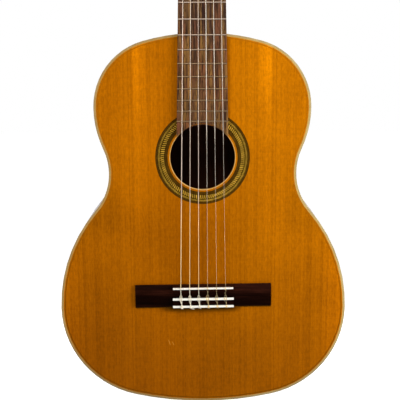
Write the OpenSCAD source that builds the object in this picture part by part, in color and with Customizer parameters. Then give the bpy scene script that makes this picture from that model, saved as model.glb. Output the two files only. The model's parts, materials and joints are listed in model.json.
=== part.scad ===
// Classical guitar with a slotted head, built on the bench face up and then hung upright.
// On the bench: x runs to the treble side, y towards the head, z out of the soundboard.
// The bench's y = 0 is the neck joint under the twelfth fret, and z = 0 is the face of the soundboard.

/* [Body] */
// Length of the body from the neck joint to the tail
body_length = 486; // [484:1:494]
// Rise of the body's edge above the neck joint, in the middle under the fingerboard
neck_rise = 3; // [2:0.5:4]
// Greatest width of the upper bout
upper_width = 278; // [270:1:284]
// Distance from the neck joint to the upper bout's widest place
upper_at = 91; // [90:1:96]
// Width at the waist
waist_width = 242; // [232:1:248]
// Distance from the neck joint to the waist
waist_at = 175; // [172:1:182]
// Radius of the waist's curve
waist_radius = 75; // [65:1:90]
// Greatest width of the lower bout
lower_width = 376; // [366:1:382]
// Distance from the neck joint to the lower bout's widest place
lower_at = 355; // [348:1:356]
// Radius of the shoulder's curve
shoulder_radius = 87; // [82:1:88]
// Radius of the curve between the lower bout and the tail
hip_radius = 124; // [118:1:127]
// Greatest depth of the body, at the back's crown
body_depth = 102; // [98:1:108]

/* [Plates and ribs] */
// Radius of the back's dome
dome_radius = 4500; // [4000:100:6000]
// Distance from the neck joint to the crown of the back's dome
dome_at = 320; // [290:5:340]
// Thickness of the soundboard
top_thickness = 2.5; // [2.2:0.1:3]
// Thickness of the back
back_thickness = 2.5; // [2.2:0.1:3]
// Thickness of the ribs, and width of the binding that caps them
rib_thickness = 2; // [1.8:0.1:2.4]
// Height of the binding
binding_height = 5; // [4:0.5:6]
// Width of the purfling line inside the top binding
purfling_width = 1.2; // [1:0.1:2]

/* [Sound hole] */
// Distance from the neck joint to the centre of the sound hole
hole_at = 155; // [153:1:158]
// Radius of the sound hole
hole_radius = 42; // [41:0.5:43.5]
// Inner radius of the rosette
rosette_inner = 45; // [44.5:0.5:46.5]
// Outer radius of the rosette
rosette_outer = 61; // [58:0.5:63]

/* [Fingerboard and frets] */
// Sounding length of the open strings
scale_length = 650; // [640:1:660]
// Width of the fingerboard at the nut
nut_width = 50; // [49:1:53]
// Width of the fingerboard at the neck joint
joint_width = 61.5; // [60:0.5:63]
// Thickness of the fingerboard
board_thickness = 6; // [5:0.5:7]
// Number of frets
fret_count = 19; // [12:1:19]
// Height of a fret's crown over the fingerboard
fret_height = 1; // [0.8:0.1:1.2]

/* [Strings and bridge] */
// Distance between the outer strings at the nut
nut_spread = 39; // [38:0.5:42]
// Distance between the outer strings at the saddle
saddle_spread = 58.5; // [56:0.5:60]
// Length of the bridge from wing to wing
bridge_length = 179; // [165:1:190]
// Slant of the bridge, bass end further from the nut
bridge_slant = 0.6; // [0:0.1:1.2]
// Length of the tie block and the saddle
tie_length = 80; // [76:1:84]
// Height of the saddle's top over the soundboard
saddle_top = 12.3; // [11.5:0.1:13]

/* [Neck and head] */
// Depth of the neck's wood behind the nut
neck_depth = 15.5; // [14:0.5:17]
// Depth of the neck's wood where the heel starts
heel_start_depth = 18; // [16:0.5:20]
// Angle of the head behind the fingerboard
head_tilt = 12; // [10:0.5:14]
// Length of the head from the nut to its crest
head_length = 178; // [177:1:180]
// Width of the head
head_width = 73; // [72:0.5:74]
// Thickness of the head behind its veneer
head_thickness = 20; // [19:0.5:21]

/* [Tuning machines] */
// Distance between the rollers
roller_spacing = 35; // [35:0.5:36]
// Radius of a roller
roller_radius = 5; // [4.8:0.1:5.2]
// Number of teeth on a gear
gear_teeth = 14; // [13:1:15]
// Pitch radius of a gear
gear_radius = 6; // [5.9:0.05:6.1]
// Pitch radius of a worm
worm_radius = 2.7; // [2.65:0.05:2.75]

/* [Hidden] */
one_to_six = [1, 2, 3, 4, 5, 6];
body_nodes = [
    "soundboard", "rosette", "top_purfling", "top_binding", "rib_bass", "rib_treble", "tail_graft",
    "back", "back_strip", "back_binding", "top_lining", "back_lining", "neck_block", "tail_block",
    "fan_braces", "harmonic_bars", "back_bars", "bridge", "saddle", "tie_block_caps", "neck",
    "heel_cap", "headstock", "head_veneer", "fingerboard", "frets", "nut", "plate_bass",
    "plate_treble", "plate_screws"
];
function numbered(word) = [for (i = one_to_six) str(word, "_", i)];
$fn = 96;
past = 1;

// Curves
function smooth(t) = let (c = min(max(t, 0), 1)) c * c * (3 - 2 * c);
function heading(v) = atan2(v[1], v[0]);
function unit(v) = v / norm(v);
function mix(a, b, t) = a + (b - a) * t;
// Points along an arc, without its first one
function arc_on(centre, radius, from, to, steps) = [
    for (i = [1:steps]) let (a = mix(from, to, i / steps)) centre + radius * [cos(a), sin(a)]
];
function arc(centre, radius, from, to, steps) =
    concat([centre + radius * [cos(from), sin(from)]], arc_on(centre, radius, from, to, steps));

// The body's outline: seven tangent arcs on each side
upper_half = upper_width / 2;
waist_half = waist_width / 2;
lower_half = lower_width / 2;
tail_reach = body_length - lower_at;
neck_reach = neck_rise + upper_at;
neck_end_radius = (upper_half ^ 2 + neck_reach ^ 2 - 2 * upper_half * shoulder_radius)
    / (2 * (neck_reach - shoulder_radius));
under_radius = ((upper_half - waist_half) ^ 2 + (waist_at - upper_at) ^ 2)
    / (2 * (upper_half - waist_half)) - waist_radius;
over_radius = ((lower_half - waist_half) ^ 2 + (lower_at - waist_at) ^ 2)
    / (2 * (lower_half - waist_half)) - waist_radius;
tail_radius = (lower_half ^ 2 + tail_reach ^ 2 - 2 * lower_half * hip_radius)
    / (2 * (tail_reach - hip_radius));
neck_end_centre = [0, neck_rise - neck_end_radius];
shoulder_centre = [upper_half - shoulder_radius, -upper_at];
under_centre = [upper_half - under_radius, -upper_at];
waist_centre = [waist_half + waist_radius, -waist_at];
over_centre = [lower_half - over_radius, -lower_at];
hip_centre = [lower_half - hip_radius, -lower_at];
tail_centre = [0, tail_radius - body_length];
shoulder_turn = heading(shoulder_centre - neck_end_centre);
under_turn = heading(waist_centre - under_centre);
over_turn = heading(waist_centre - over_centre);
hip_turn = heading(hip_centre - tail_centre);

function half_outline(inset) = concat(
    [[0, neck_rise - inset]],
    arc_on(neck_end_centre, neck_end_radius - inset, 90, shoulder_turn, 5),
    arc_on(shoulder_centre, shoulder_radius - inset, shoulder_turn, 0, 12),
    arc_on(under_centre, under_radius - inset, 0, under_turn, 5),
    arc_on(waist_centre, waist_radius + inset, 180 + under_turn, 180 + over_turn, 11),
    arc_on(over_centre, over_radius - inset, over_turn, 0, 7),
    arc_on(hip_centre, hip_radius - inset, 0, hip_turn, 14),
    arc_on(tail_centre, tail_radius - inset, hip_turn, -90, 4)
);
function outline(inset) =
    let (half = half_outline(inset))
    concat(half, [for (i = [len(half) - 2:-1:1]) [-half[i][0], half[i][1]]]);

module prism(inset, low, high) {
    translate([0, 0, low]) linear_extrude(high - low) polygon(outline(inset));
}
// Everything inside the back's dome, at a depth below its outer face
module dome(depth) {
    translate([0, -dome_at, dome_radius - body_depth]) sphere(r = dome_radius - depth, $fn = 256);
}
module dome_shell(outer, inner) {
    difference() {
        dome(outer);
        dome(inner);
    }
}
module wall(outer, inner, low, high) {
    difference() {
        prism(outer, low, high);
        prism(inner, low - past, high + past);
    }
}
// A block between two distances below the neck joint
module span(half_width, from, to, low = -2 * body_depth, high = body_depth) {
    translate([-half_width, -to, low]) cube([2 * half_width, to - from, high - low]);
}
module at_hole() {
    translate([0, -hole_at, 0]) children();
}
// Turns a profile drawn in y and z into a bar along x
module along_x(length, centred = true) {
    rotate([90, 0, 90]) linear_extrude(length, center = centred) children();
}

// Body: plates, ribs, edges and what is glued inside
purfling_depth = 1.2;
rosette_depth = 1;
lining_width = 7.5;
lining_inset = rib_thickness + lining_width;
lining_height = 14.5;
graft_half = 6;
strip_half = 3;
strip_depth = 1;
strip_end_gap = 2;
strip_inset = rib_thickness + strip_end_gap;
block_half = 35;
neck_block_length = 42;
neck_foot_half = 30;
neck_foot_length = 75;
neck_foot_height = 16;
tail_block_start = body_length - 20;

module soundboard() {
    color("#c77a1e") difference() {
        union() {
            prism(rib_thickness + purfling_width, -top_thickness, 0);
            prism(rib_thickness, -top_thickness, -purfling_depth);
        }
        at_hole() translate([0, 0, -top_thickness - past])
            cylinder(r = hole_radius, h = top_thickness + 2 * past);
        at_hole() translate([0, 0, -rosette_depth]) rosette_ring(rosette_depth + past);
    }
}
module rosette_ring(height) {
    difference() {
        cylinder(r = rosette_outer, h = height);
        translate([0, 0, -past]) cylinder(r = rosette_inner, h = height + 2 * past);
    }
}
module rosette() {
    color("#6b5a26") at_hole() translate([0, 0, -rosette_depth]) rosette_ring(rosette_depth);
}
module top_purfling() {
    color("#c9a05a") wall(rib_thickness, rib_thickness + purfling_width, -purfling_depth, 0);
}
module top_binding() {
    color("#ad9163") wall(0, rib_thickness, -binding_height, 0);
}
module rib_wall() {
    intersection() {
        wall(0, rib_thickness, -body_depth, -binding_height);
        dome(binding_height);
    }
}
module tail_gap() {
    span(graft_half, tail_block_start, body_length + past);
}
module rib(side) {
    reach = lower_half + past;
    intersection() {
        difference() {
            rib_wall();
            tail_gap();
        }
        translate([side > 0 ? 0 : -reach, -body_length - past, -body_depth - past])
            cube([reach, body_length + neck_rise + 2 * past, body_depth + 2 * past]);
    }
}
module rib_bass() {
    color("#4a2416") rib(-1);
}
module rib_treble() {
    color("#4a2416") rib(1);
}
module tail_graft() {
    color("#ad9163") intersection() {
        rib_wall();
        tail_gap();
    }
}
module back() {
    color("#4a2416") difference() {
        intersection() {
            prism(rib_thickness, -body_depth - past, -top_thickness);
            dome_shell(0, back_thickness);
        }
        back_strip_shape();
    }
}
module back_strip_shape() {
    intersection() {
        span(strip_half, strip_inset - neck_rise, body_length - strip_inset);
        dome_shell(-past, strip_depth);
    }
}
module back_strip() {
    color("#b98f5a") intersection() {
        back_strip_shape();
        dome(0);
    }
}
module back_binding() {
    color("#ad9163") intersection() {
        wall(0, rib_thickness, -body_depth - past, -top_thickness);
        dome_shell(0, binding_height);
    }
}
module blocks_room() {
    span(block_half, -neck_rise, neck_block_length);
    span(block_half, tail_block_start, body_length);
}
module top_lining() {
    color("#c9a36a") difference() {
        wall(rib_thickness, lining_inset, -top_thickness - lining_height, -top_thickness);
        blocks_room();
    }
}
module back_lining() {
    color("#c9a36a") difference() {
        intersection() {
            wall(rib_thickness, lining_inset, -body_depth, -top_thickness - lining_height - past);
            dome_shell(back_thickness, back_thickness + lining_height);
        }
        blocks_room();
    }
}
module block_space() {
    intersection() {
        prism(rib_thickness, -body_depth, -top_thickness);
        dome(back_thickness);
    }
}
module neck_block() {
    color("#a9713d") intersection() {
        block_space();
        union() {
            span(block_half, -neck_rise, neck_block_length);
            intersection() {
                span(neck_foot_half, -neck_rise, neck_foot_length);
                dome_shell(back_thickness, back_thickness + neck_foot_height);
            }
        }
    }
}
module tail_block() {
    color("#a9713d") intersection() {
        block_space();
        span(block_half, tail_block_start, body_length);
    }
}

// Braces under the plates
fan_count = 7;
fan_from = 224;
fan_to = 442;
fan_step_top = 17;
fan_step_tail = 40;
fan_shortening = 16;
fan_width = 6;
fan_height = 5;
fan_side_height = 2;
bar_width = 7;
bar_height = 17;
bar_end_height = 6;
harmonic_bars_at = [98, 214];
back_bars_at = [100, 215, 345];
back_bar_height = 12;

module fan_braces() {
    half = fan_width / 2;
    peak = [[-half, 0], [-half, -fan_side_height], [0, -fan_height], [half, -fan_side_height], [half, 0]];
    color("#d8b57a") for (i = [0:fan_count - 1]) {
        place = i - (fan_count - 1) / 2;
        from = [place * fan_step_top, -fan_from];
        to = [place * fan_step_tail, -fan_to + abs(place) * fan_shortening];
        translate([from[0], from[1], -top_thickness])
            rotate([0, 0, heading(to - from)])
            along_x(norm(to - from), false)
            polygon(peak);
    }
}
module harmonic_bars() {
    half = upper_half;
    scallop = 45;
    shape = [[-half, 0], [half, 0], [half, -bar_end_height], [half - scallop, -bar_height],
        [scallop - half, -bar_height], [-half, -bar_end_height]];
    color("#d8b57a") intersection() {
        prism(lining_inset, -top_thickness - bar_height - past, -top_thickness);
        union() for (at = harmonic_bars_at)
            translate([0, -at, -top_thickness]) rotate([90, 0, 0])
            linear_extrude(bar_width, center = true) polygon(shape);
    }
}
module back_bars() {
    color("#d8b57a") intersection() {
        prism(lining_inset, -body_depth, -top_thickness);
        dome_shell(back_thickness, back_thickness + back_bar_height);
        union() for (at = back_bars_at) span(lower_half, at - bar_width / 2, at + bar_width / 2);
    }
}

// Bridge, in its own frame: y = 0 under the saddle, the tie block towards -y
nut_y = scale_length / 2;
compensation = 1.5;
saddle_at = nut_y + compensation;
bridge_front = 3.4;
bridge_back = -26.4;
bridge_crown = 56;
wing_height = 5;
saddle_block_height = 8;
saddle_block_back = -5;
block_front_height = 4;
block_front_slope = 0.8;
channel_slope = 0.6;
channel_floor = 4.4;
tie_front = -13.4;
tie_wood_height = 8.6;
cap_width = 3;
cap_bottom = 7.6;
tie_top = 9.2;
saddle_thickness = 2.5;
saddle_end_wood = 0.6;
saddle_length = tie_length - 2 * saddle_end_wood;
saddle_bottom = 3;
tie_hole_height = 6;
tie_hole_clearance = 0.3;
string_break_angle = atan2(saddle_top - tie_hole_height, -tie_front);

module at_bridge() {
    translate([0, -saddle_at, 0]) rotate([0, 0, bridge_slant]) children();
}
function on_bridge(x, y, z) = [
    x * cos(bridge_slant) - y * sin(bridge_slant),
    x * sin(bridge_slant) + y * cos(bridge_slant) - saddle_at,
    z
];
module wing_profile() {
    intersection() {
        translate([bridge_back, 0]) square([bridge_front - bridge_back, wing_height]);
        translate([(bridge_front + bridge_back) / 2, wing_height - bridge_crown])
            circle(r = bridge_crown, $fn = 200);
    }
}
module block_profile() {
    polygon([[bridge_front, 0], [bridge_front, block_front_height],
        [bridge_front - block_front_slope, saddle_block_height], [saddle_block_back, saddle_block_height],
        [saddle_block_back - channel_slope, channel_floor], [tie_front, channel_floor],
        [tie_front, tie_wood_height], [bridge_back, tie_wood_height], [bridge_back, 0]]);
}
module cap_bars(low, high) {
    for (y = [tie_front - cap_width, bridge_back])
        translate([-tie_length / 2, y, low]) cube([tie_length, cap_width, high - low]);
}
module cap_rebates() {
    for (y = [tie_front - cap_width, bridge_back - past])
        translate([-tie_length / 2 - past, y, cap_bottom])
            cube([tie_length + 2 * past, cap_width + past, tie_top]);
}
module bridge() {
    color("#2b1410") at_bridge() difference() {
        union() {
            along_x(bridge_length) wing_profile();
            along_x(tie_length) block_profile();
        }
        translate([-saddle_length / 2, -saddle_thickness / 2, saddle_bottom])
            cube([saddle_length, saddle_thickness, saddle_block_height]);
        cap_rebates();
        for (i = one_to_six)
            translate([saddle_x(i), bridge_back - past, tie_hole_height]) rotate([-90, 0, 0])
            cylinder(r = string_radius(i) + tie_hole_clearance, h = tie_front - bridge_back + 2 * past);
    }
}
module saddle() {
    half = saddle_thickness / 2;
    color("#efe6d2") at_bridge() along_x(saddle_length)
        polygon(concat([[-half, saddle_bottom], [half, saddle_bottom]],
            arc([0, saddle_top - half], half, 0, 180, 10)));
}
module tie_block_caps() {
    color("#efe6d2") at_bridge() cap_bars(cap_bottom, tie_top);
}

// Neck, drawn as sections from the head to the body
nut_thickness = 6;
head_y = nut_y + nut_thickness;
flare_start = -4;
flare_end = 26;
head_joint = 12;
neck_roundness = 2.2;
ridge_half = 0.8;
nut_squareness = 0.2;
tilt_run = 3;
section_steps = 8;
heel_start = 62;
heel_reach = 46;
heel_tip = heel_start - heel_reach;
heel_drop_rate = 0.9;
cap_thickness = 3;
joint_overlap = 6;
back_edge = sqrt(dome_radius ^ 2 - (dome_at + neck_rise) ^ 2) - (dome_radius - body_depth);
heel_depth = back_edge - cap_thickness;

function board_width(y) = mix(joint_width, nut_width, y / nut_y);
function head_width_at(u) =
    mix(nut_width, head_width, smooth((u - flare_start) / (flare_end - flare_start)));
// Depth of the neck below the fingerboard, with the heel's sweep towards the body
function neck_depth_at(y) =
    y > heel_start ? mix(heel_start_depth, neck_depth, (y - heel_start) / (nut_y - heel_start))
    : y > heel_tip
        ? mix(heel_start_depth, heel_depth, 1 - sqrt(1 - ((heel_start - y) / heel_reach) ^ 2))
    : heel_depth + (heel_tip - y) * heel_drop_rate;
function bulge(share) = (1 - min(share, 1) ^ neck_roundness) ^ (1 / neck_roundness);
function heel_half_at(y) =
    max(ridge_half, board_width(y) / 2 * bulge(heel_depth / max(neck_depth_at(y), heel_depth)));
// One side of a section, from the fingerboard's edge down to the ridge or to the heel's cap
function round_side(half, depth) =
    let (deepest = min(depth, heel_depth), share = (deepest / depth) ^ (neck_roundness / 2))
    [for (i = [0:section_steps])
        let (a = asin(min(share, 1)) * i / section_steps)
        [max(ridge_half, half * cos(a) ^ (2 / neck_roundness)), -depth * sin(a) ^ (2 / neck_roundness)]];
function square_side(half, depth) =
    [for (i = [0:section_steps])
        let (a = 90 * i / section_steps)
        a <= 45 ? [half, -depth * tan(a)] : [max(ridge_half, half / tan(a)), -depth]];
function section(half, depth, squareness) =
    let (side = mix(round_side(half, depth), square_side(half, depth), squareness))
    concat(side, [for (i = [section_steps:-1:0]) [-side[i][0], side[i][1]]]);
function placed(points, y, u, tilt) = [
    for (p = points)
        [p[0], y + u * cos(head_tilt) + p[1] * sin(tilt), -u * sin(head_tilt) + p[1] * cos(tilt)]
];
function shaft_section(y) = placed(section(board_width(y) / 2, neck_depth_at(y), 0), y, 0, 0);
function head_section(u) =
    let (t = smooth(u / head_joint), depth = mix(neck_depth, head_thickness, t))
    placed(section(head_width_at(u) / 2, depth, mix(nut_squareness, 1, t)), head_y, u,
        head_tilt * min(1, (1 + u / tilt_run) / 2));
shaft_places = [nut_y - nut_thickness, 250, 170, 110, heel_start];
heel_angles = [15, 30, 45, 58, 69, 78, 85];
heel_places = [for (a = heel_angles) heel_start - heel_reach * sin(a)];
tip_steps = [0, 1, 3, 6, 10, 14];
tip_places = concat([for (step = tip_steps) heel_tip - step], [-joint_overlap]);
neck_sections = concat(
    [for (u = [head_joint, 9, 6, 3, 0]) head_section(u)],
    [for (y = concat(shaft_places, heel_places, tip_places)) shaft_section(y)]
);
// A skin over a list of sections with the same number of points
module skin(sections) {
    n = len(sections[0]);
    last = len(sections) - 1;
    points = [for (s = sections) each s];
    sides = [for (i = [0:last - 1]) for (j = [0:n - 1]) let (k = (j + 1) % n)
        each [[i * n + j, i * n + k, (i + 1) * n + j], [i * n + k, (i + 1) * n + k, (i + 1) * n + j]]];
    ends = [[for (j = [n - 1:-1:0]) j], [for (j = [0:n - 1]) last * n + j]];
    polyhedron(points, concat(sides, ends));
}
module body_cut() {
    prism(0, -2 * body_depth, board_thickness);
}
module neck() {
    color("#6e3b1e") difference() {
        skin(neck_sections);
        body_cut();
    }
}
module heel_cap() {
    edge = [for (y = tip_places) [heel_half_at(y), y]];
    last = len(edge) - 1;
    color("#4a2416") difference() {
        translate([0, 0, -back_edge]) linear_extrude(cap_thickness)
            polygon(concat(edge, [for (i = [last:-1:0]) [-edge[i][0], edge[i][1]]]));
        body_cut();
    }
}

// Fingerboard, frets and nut
fret_half_width = 1;
fret_radius = (fret_half_width ^ 2 + fret_height ^ 2) / (2 * fret_height);
tang_width = 0.6;
tang_depth = 2;
fret_end_inset = 0.2;
board_end_gap = 0.5;
board_cut_radius = hole_radius + board_end_gap;
nut_height = 7.75;
nut_back_height = 5.5;
nut_flat = 2.4;
nut_round = 0.6;
nut_string_bottom = 7.5;
groove_clearance = 0.06;
groove_reach = 0.02;

function fret_y(number) = nut_y - scale_length * (1 - 2 ^ (-number / 12));
module fingerboard() {
    end = -hole_at;
    outline = [[-board_width(nut_y) / 2, nut_y], [board_width(nut_y) / 2, nut_y],
        [board_width(end) / 2, end], [-board_width(end) / 2, end]];
    color("#6b4a34") difference() {
        linear_extrude(board_thickness) difference() {
            polygon(outline);
            translate([0, end]) circle(r = board_cut_radius, $fn = 200);
        }
        for (number = [1:fret_count])
            translate([0, fret_y(number), board_thickness - tang_depth])
            translate([-joint_width, -tang_width / 2, 0])
            cube([2 * joint_width, tang_width, tang_depth + past]);
    }
}
module fret_profile() {
    intersection() {
        translate([0, fret_height - fret_radius]) circle(r = fret_radius);
        translate([-fret_radius, 0]) square([2 * fret_radius, fret_height + past]);
    }
    translate([-tang_width / 2, -tang_depth]) square([tang_width, tang_depth + fret_height / 2]);
}
module frets() {
    color("#c9c7c0") for (number = [1:fret_count])
        translate([0, fret_y(number), board_thickness])
        along_x(board_width(fret_y(number)) - 2 * fret_end_inset) fret_profile();
}
module rod(from, to, radius) {
    d = to - from;
    translate(from) rotate([0, acos(d[2] / norm(d)), atan2(d[1], d[0])]) cylinder(r = radius, h = norm(d));
}
module nut() {
    crest = nut_y + nut_flat;
    color("#efe6d2") difference() {
        along_x(nut_width) polygon([[nut_y, 0], [head_y, 0], [head_y, nut_back_height],
            [crest + nut_round, nut_height - nut_round / 2], [crest, nut_height], [nut_y, nut_height]]);
        for (i = one_to_six)
            rod(nut_point(i), mix(nut_point(i), saddle_point(i), groove_reach),
                string_radius(i) + groove_clearance);
    }
}

// Head: u runs up the head's face from the nut, v out of that face
module at_head() {
    translate([0, head_y, 0]) rotate([-head_tilt, 0, 0]) children();
}
function on_head(x, u, v) = [
    x, head_y + u * cos(head_tilt) + v * sin(head_tilt), -u * sin(head_tilt) + v * cos(head_tilt)
];
function to_head(p) = [
    (p[1] - head_y) * cos(head_tilt) - p[2] * sin(head_tilt),
    (p[1] - head_y) * sin(head_tilt) + p[2] * cos(head_tilt)
];
veneer_thickness = 2.5;
slot_inner = 7.5;
slot_outer = 23;
slot_start = 16;
slot_end = 136;
first_roller = 50;
roller_depth = 9;
web_hole_end = 2.5;
bearing_clearance = 0.08;
crest_lobe_radius = 19;
crest_lobe_at = head_length - crest_lobe_radius;
side_lobe_radius = 14.5;
side_lobe_drop = 6;
side_lobe = [head_width / 2 - side_lobe_radius, crest_lobe_at - side_lobe_drop];
crest_gap = norm(side_lobe - [0, crest_lobe_at]);
// Where the side lobe gives way to the crest's middle lobe
side_lobe_end = heading([0, crest_lobe_at] - side_lobe)
    - acos((side_lobe_radius ^ 2 + crest_gap ^ 2 - crest_lobe_radius ^ 2)
        / (2 * side_lobe_radius * crest_gap));
crest_lobe_start = heading(side_lobe - [0, crest_lobe_at])
    + acos((crest_lobe_radius ^ 2 + crest_gap ^ 2 - side_lobe_radius ^ 2)
        / (2 * crest_lobe_radius * crest_gap));
plate_thickness = 1.5;
plate_half_height = 6.5;
plate_overhang = 15;
plate_face = head_width / 2;
screw_radius = 1.25;
screw_length = 9;
screw_head_radius = 2.6;
screw_head_height = 1.3;
screw_gap = 0.03;
screw_share = 0.43;
end_screw_beyond = 2.5;
veneer_under_nut = 0.5;

function roller_u(rank) = first_roller + roller_spacing * rank;
function side_of(i) = i <= 3 ? 1 : -1;
function rank_of(i) = i <= 3 ? i - 1 : 6 - i;
screw_places = [roller_u(0) - plate_overhang - end_screw_beyond, mix(roller_u(0), roller_u(1), screw_share),
    mix(roller_u(1), roller_u(2), screw_share), roller_u(2) + plate_overhang + end_screw_beyond];

function head_half_outline(from) =
    let (flare_steps = 6)
    concat(
        [for (i = [0:flare_steps])
            let (u = mix(from, flare_end, i / flare_steps)) [head_width_at(u) / 2, u]],
        arc(side_lobe, side_lobe_radius, 0, side_lobe_end, 9),
        arc_on([0, crest_lobe_at], crest_lobe_radius, crest_lobe_start, 90, 7)
    );
module head_shape(from) {
    half = head_half_outline(from);
    polygon(concat(half, [for (i = [len(half) - 2:-1:0]) [-half[i][0], half[i][1]]]));
}
module slot_shapes() {
    radius = (slot_outer - slot_inner) / 2;
    middle = (slot_outer + slot_inner) / 2;
    for (side = [-1, 1])
        polygon(concat(arc([side * middle, slot_end - radius], radius, 0, 180, 12),
            arc([side * middle, slot_start + radius], radius, 180, 360, 12)));
}
module from_side(side, far, near, radius) {
    translate([side * near, 0, 0]) rotate([0, 90 * side, 0]) cylinder(r = radius, h = far - near);
}
module headstock() {
    color("#6e3b1e") at_head() difference() {
        translate([0, 0, -head_thickness]) linear_extrude(head_thickness) difference() {
            head_shape(head_joint);
            slot_shapes();
        }
        for (i = one_to_six)
            translate([0, roller_u(rank_of(i)), -roller_depth])
            from_side(side_of(i), plate_face + past, web_hole_end, roller_radius + bearing_clearance);
        for (side = [-1, 1]) for (u = screw_places)
            translate([0, u, -roller_depth])
            from_side(side, plate_face + past, plate_face - screw_length, screw_radius + screw_gap);
    }
}
module head_veneer() {
    color("#3b1d14") difference() {
        at_head() linear_extrude(veneer_thickness) difference() {
            head_shape(-veneer_under_nut);
            slot_shapes();
        }
        translate([-head_width, 0, -head_thickness]) cube([2 * head_width, head_y, 2 * head_thickness]);
    }
}

// Tuning machines: each worm turns its gear, and the gear its roller
worm_pitch = 2 * PI * gear_radius / gear_teeth;
pressure_angle = 25;
backlash = 0.22;
tooth_rise = 0.7;
tooth_fall = 0.9;
thread_rise = 0.75;
thread_fall = 0.85;
gear_width = 3.2;
thread_gap = 0.25;
gear_x = plate_face + plate_thickness + worm_radius + thread_rise + thread_gap;
worm_offset = gear_radius + worm_radius;
lug_half = 3.4;
lug_outer = plate_half_height;
lug_thickness = 1.5;
thread_length = 2 * (lug_outer - lug_thickness - thread_gap);
thread_steps = 12;
shaft_radius = 1.6;
shaft_tip = 0.8;
shaft_front = lug_outer + shaft_tip;
button_centre = -34;
button_radius = 9;
button_half = 4.6;
button_bulge = 26;
button_stem_top = -22;
stem_height = 5.5;
stem_foot_radius = 4.4;
stem_neck_radius = 3.1;
spindle_radius = 2.5;
collar_radius = 4;
press_gap = 0.02;
spindle_end = 0.5;
roller_start = web_hole_end + 0.2;
side_gap = 0.1;
plate_cut_radius = 3.6;
plate_cut_at = 8.2;
winding_x = [19, 16.5, 14.5];

function worm_u(i) = roller_u(rank_of(i)) - worm_offset;
module plate_shape() {
    low = roller_u(0) - plate_overhang;
    high = roller_u(2) + plate_overhang;
    difference() {
        polygon(concat(arc([high, -roller_depth], plate_half_height, -90, 90, 12),
            arc([low, -roller_depth], plate_half_height, 90, 270, 12)));
        for (rank = [0, 1]) for (edge = [-1, 1])
            translate([screw_places[rank + 1], edge * plate_cut_at - roller_depth])
            circle(r = plate_cut_radius);
    }
}
module machine_plate() {
    plate_outside = plate_face + 2 * plate_thickness;
    difference() {
        union() {
            translate([plate_face, 0, 0]) along_x(plate_thickness, false) plate_shape();
            for (i = [1:3]) for (low = [lug_outer - lug_thickness, -lug_outer])
                translate([0, worm_u(i), low - roller_depth]) linear_extrude(lug_thickness)
                polygon(concat([[plate_face + plate_thickness / 2, -lug_half]],
                    arc([gear_x, 0], lug_half, -90, 90, 10), [[plate_face + plate_thickness / 2, lug_half]]));
        }
        for (i = [1:3]) {
            translate([0, roller_u(i - 1), -roller_depth])
                from_side(1, plate_outside, plate_face - past, spindle_radius + bearing_clearance);
            translate([gear_x, worm_u(i), -roller_depth - 2 * lug_outer])
                cylinder(r = shaft_radius + bearing_clearance, h = 4 * lug_outer);
        }
        for (u = screw_places)
            translate([0, u, -roller_depth])
            from_side(1, plate_outside, plate_face - past, screw_radius + screw_gap);
    }
}
module plate_treble() {
    color("#b9a163") at_head() machine_plate();
}
module plate_bass() {
    color("#b9a163") at_head() mirror([1, 0, 0]) machine_plate();
}
module plate_screw() {
    dome_rise = (screw_head_radius ^ 2 + screw_head_height ^ 2) / (2 * screw_head_height);
    translate([0, 0, -screw_length]) cylinder(r = screw_radius, h = screw_length + plate_thickness);
    translate([0, 0, plate_thickness]) intersection() {
        translate([0, 0, screw_head_height - dome_rise]) sphere(r = dome_rise);
        cylinder(r = screw_head_radius + past, h = screw_head_height + past);
    }
}
module plate_screws() {
    color("#b9a163") at_head() for (side = [-1, 1]) for (u = screw_places)
        translate([side * plate_face, u, -roller_depth]) rotate([0, 90 * side, 0]) plate_screw();
}
// A cut across the worm, whose off-centre outline becomes the thread when it is twisted
function thread_angle(width) = 360 * width / worm_pitch;
thread_half = (worm_pitch / 2 - backlash) / 2;
crest_angle = thread_angle(thread_half - thread_rise * tan(pressure_angle));
root_angle = thread_angle(thread_half + thread_fall * tan(pressure_angle));
flank_steps = 4;
flank = [for (i = [0:flank_steps])
    [mix(crest_angle, root_angle, i / flank_steps),
        mix(worm_radius + thread_rise, worm_radius - thread_fall, i / flank_steps)]];
worm_cut = concat([[0, worm_radius + thread_rise]], flank, [[180, worm_radius - thread_fall]],
    [for (i = [flank_steps:-1:0]) [-flank[i][0], flank[i][1]]]);
module worm_thread() {
    turns = thread_length / worm_pitch;
    rotate([0, 0, -90 - 180 * turns]) translate([0, 0, -thread_length / 2])
        linear_extrude(thread_length, twist = -360 * turns, slices = ceil(turns * thread_steps), segments = 1)
        polygon([for (p = worm_cut) p[1] * [cos(p[0]), sin(p[0])]]);
}
module worm(i) {
    shaft_end = button_centre + roller_depth;
    color("#d9d4c4") at_head() translate([side_of(i) * gear_x, worm_u(i), -roller_depth]) {
        worm_thread();
        translate([0, 0, shaft_end]) cylinder(r = shaft_radius, h = shaft_front - shaft_end);
    }
}
module button(i) {
    color("#efe9da") at_head() translate([side_of(i) * gear_x, worm_u(i), 0]) difference() {
        union() {
            translate([0, 0, button_stem_top - stem_height])
                cylinder(r1 = stem_foot_radius, r2 = stem_neck_radius, h = stem_height);
            intersection() {
                translate([0, 0, button_centre]) sphere(r = button_radius);
                lens(button_half, button_bulge);
            }
        }
        translate([0, 0, button_centre - press_gap])
            cylinder(r = shaft_radius + press_gap, h = -button_centre);
    }
}
// The space between two large cylinders, thickest in the middle
module lens(half, bulge) {
    length = 4 * button_radius;
    translate([0, half - bulge, button_centre]) rotate([0, 90, 0]) intersection() {
        cylinder(r = bulge, h = length, center = true, $fn = 200);
        translate([0, 2 * (bulge - half), 0]) cylinder(r = bulge, h = length, center = true, $fn = 200);
    }
}
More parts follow.
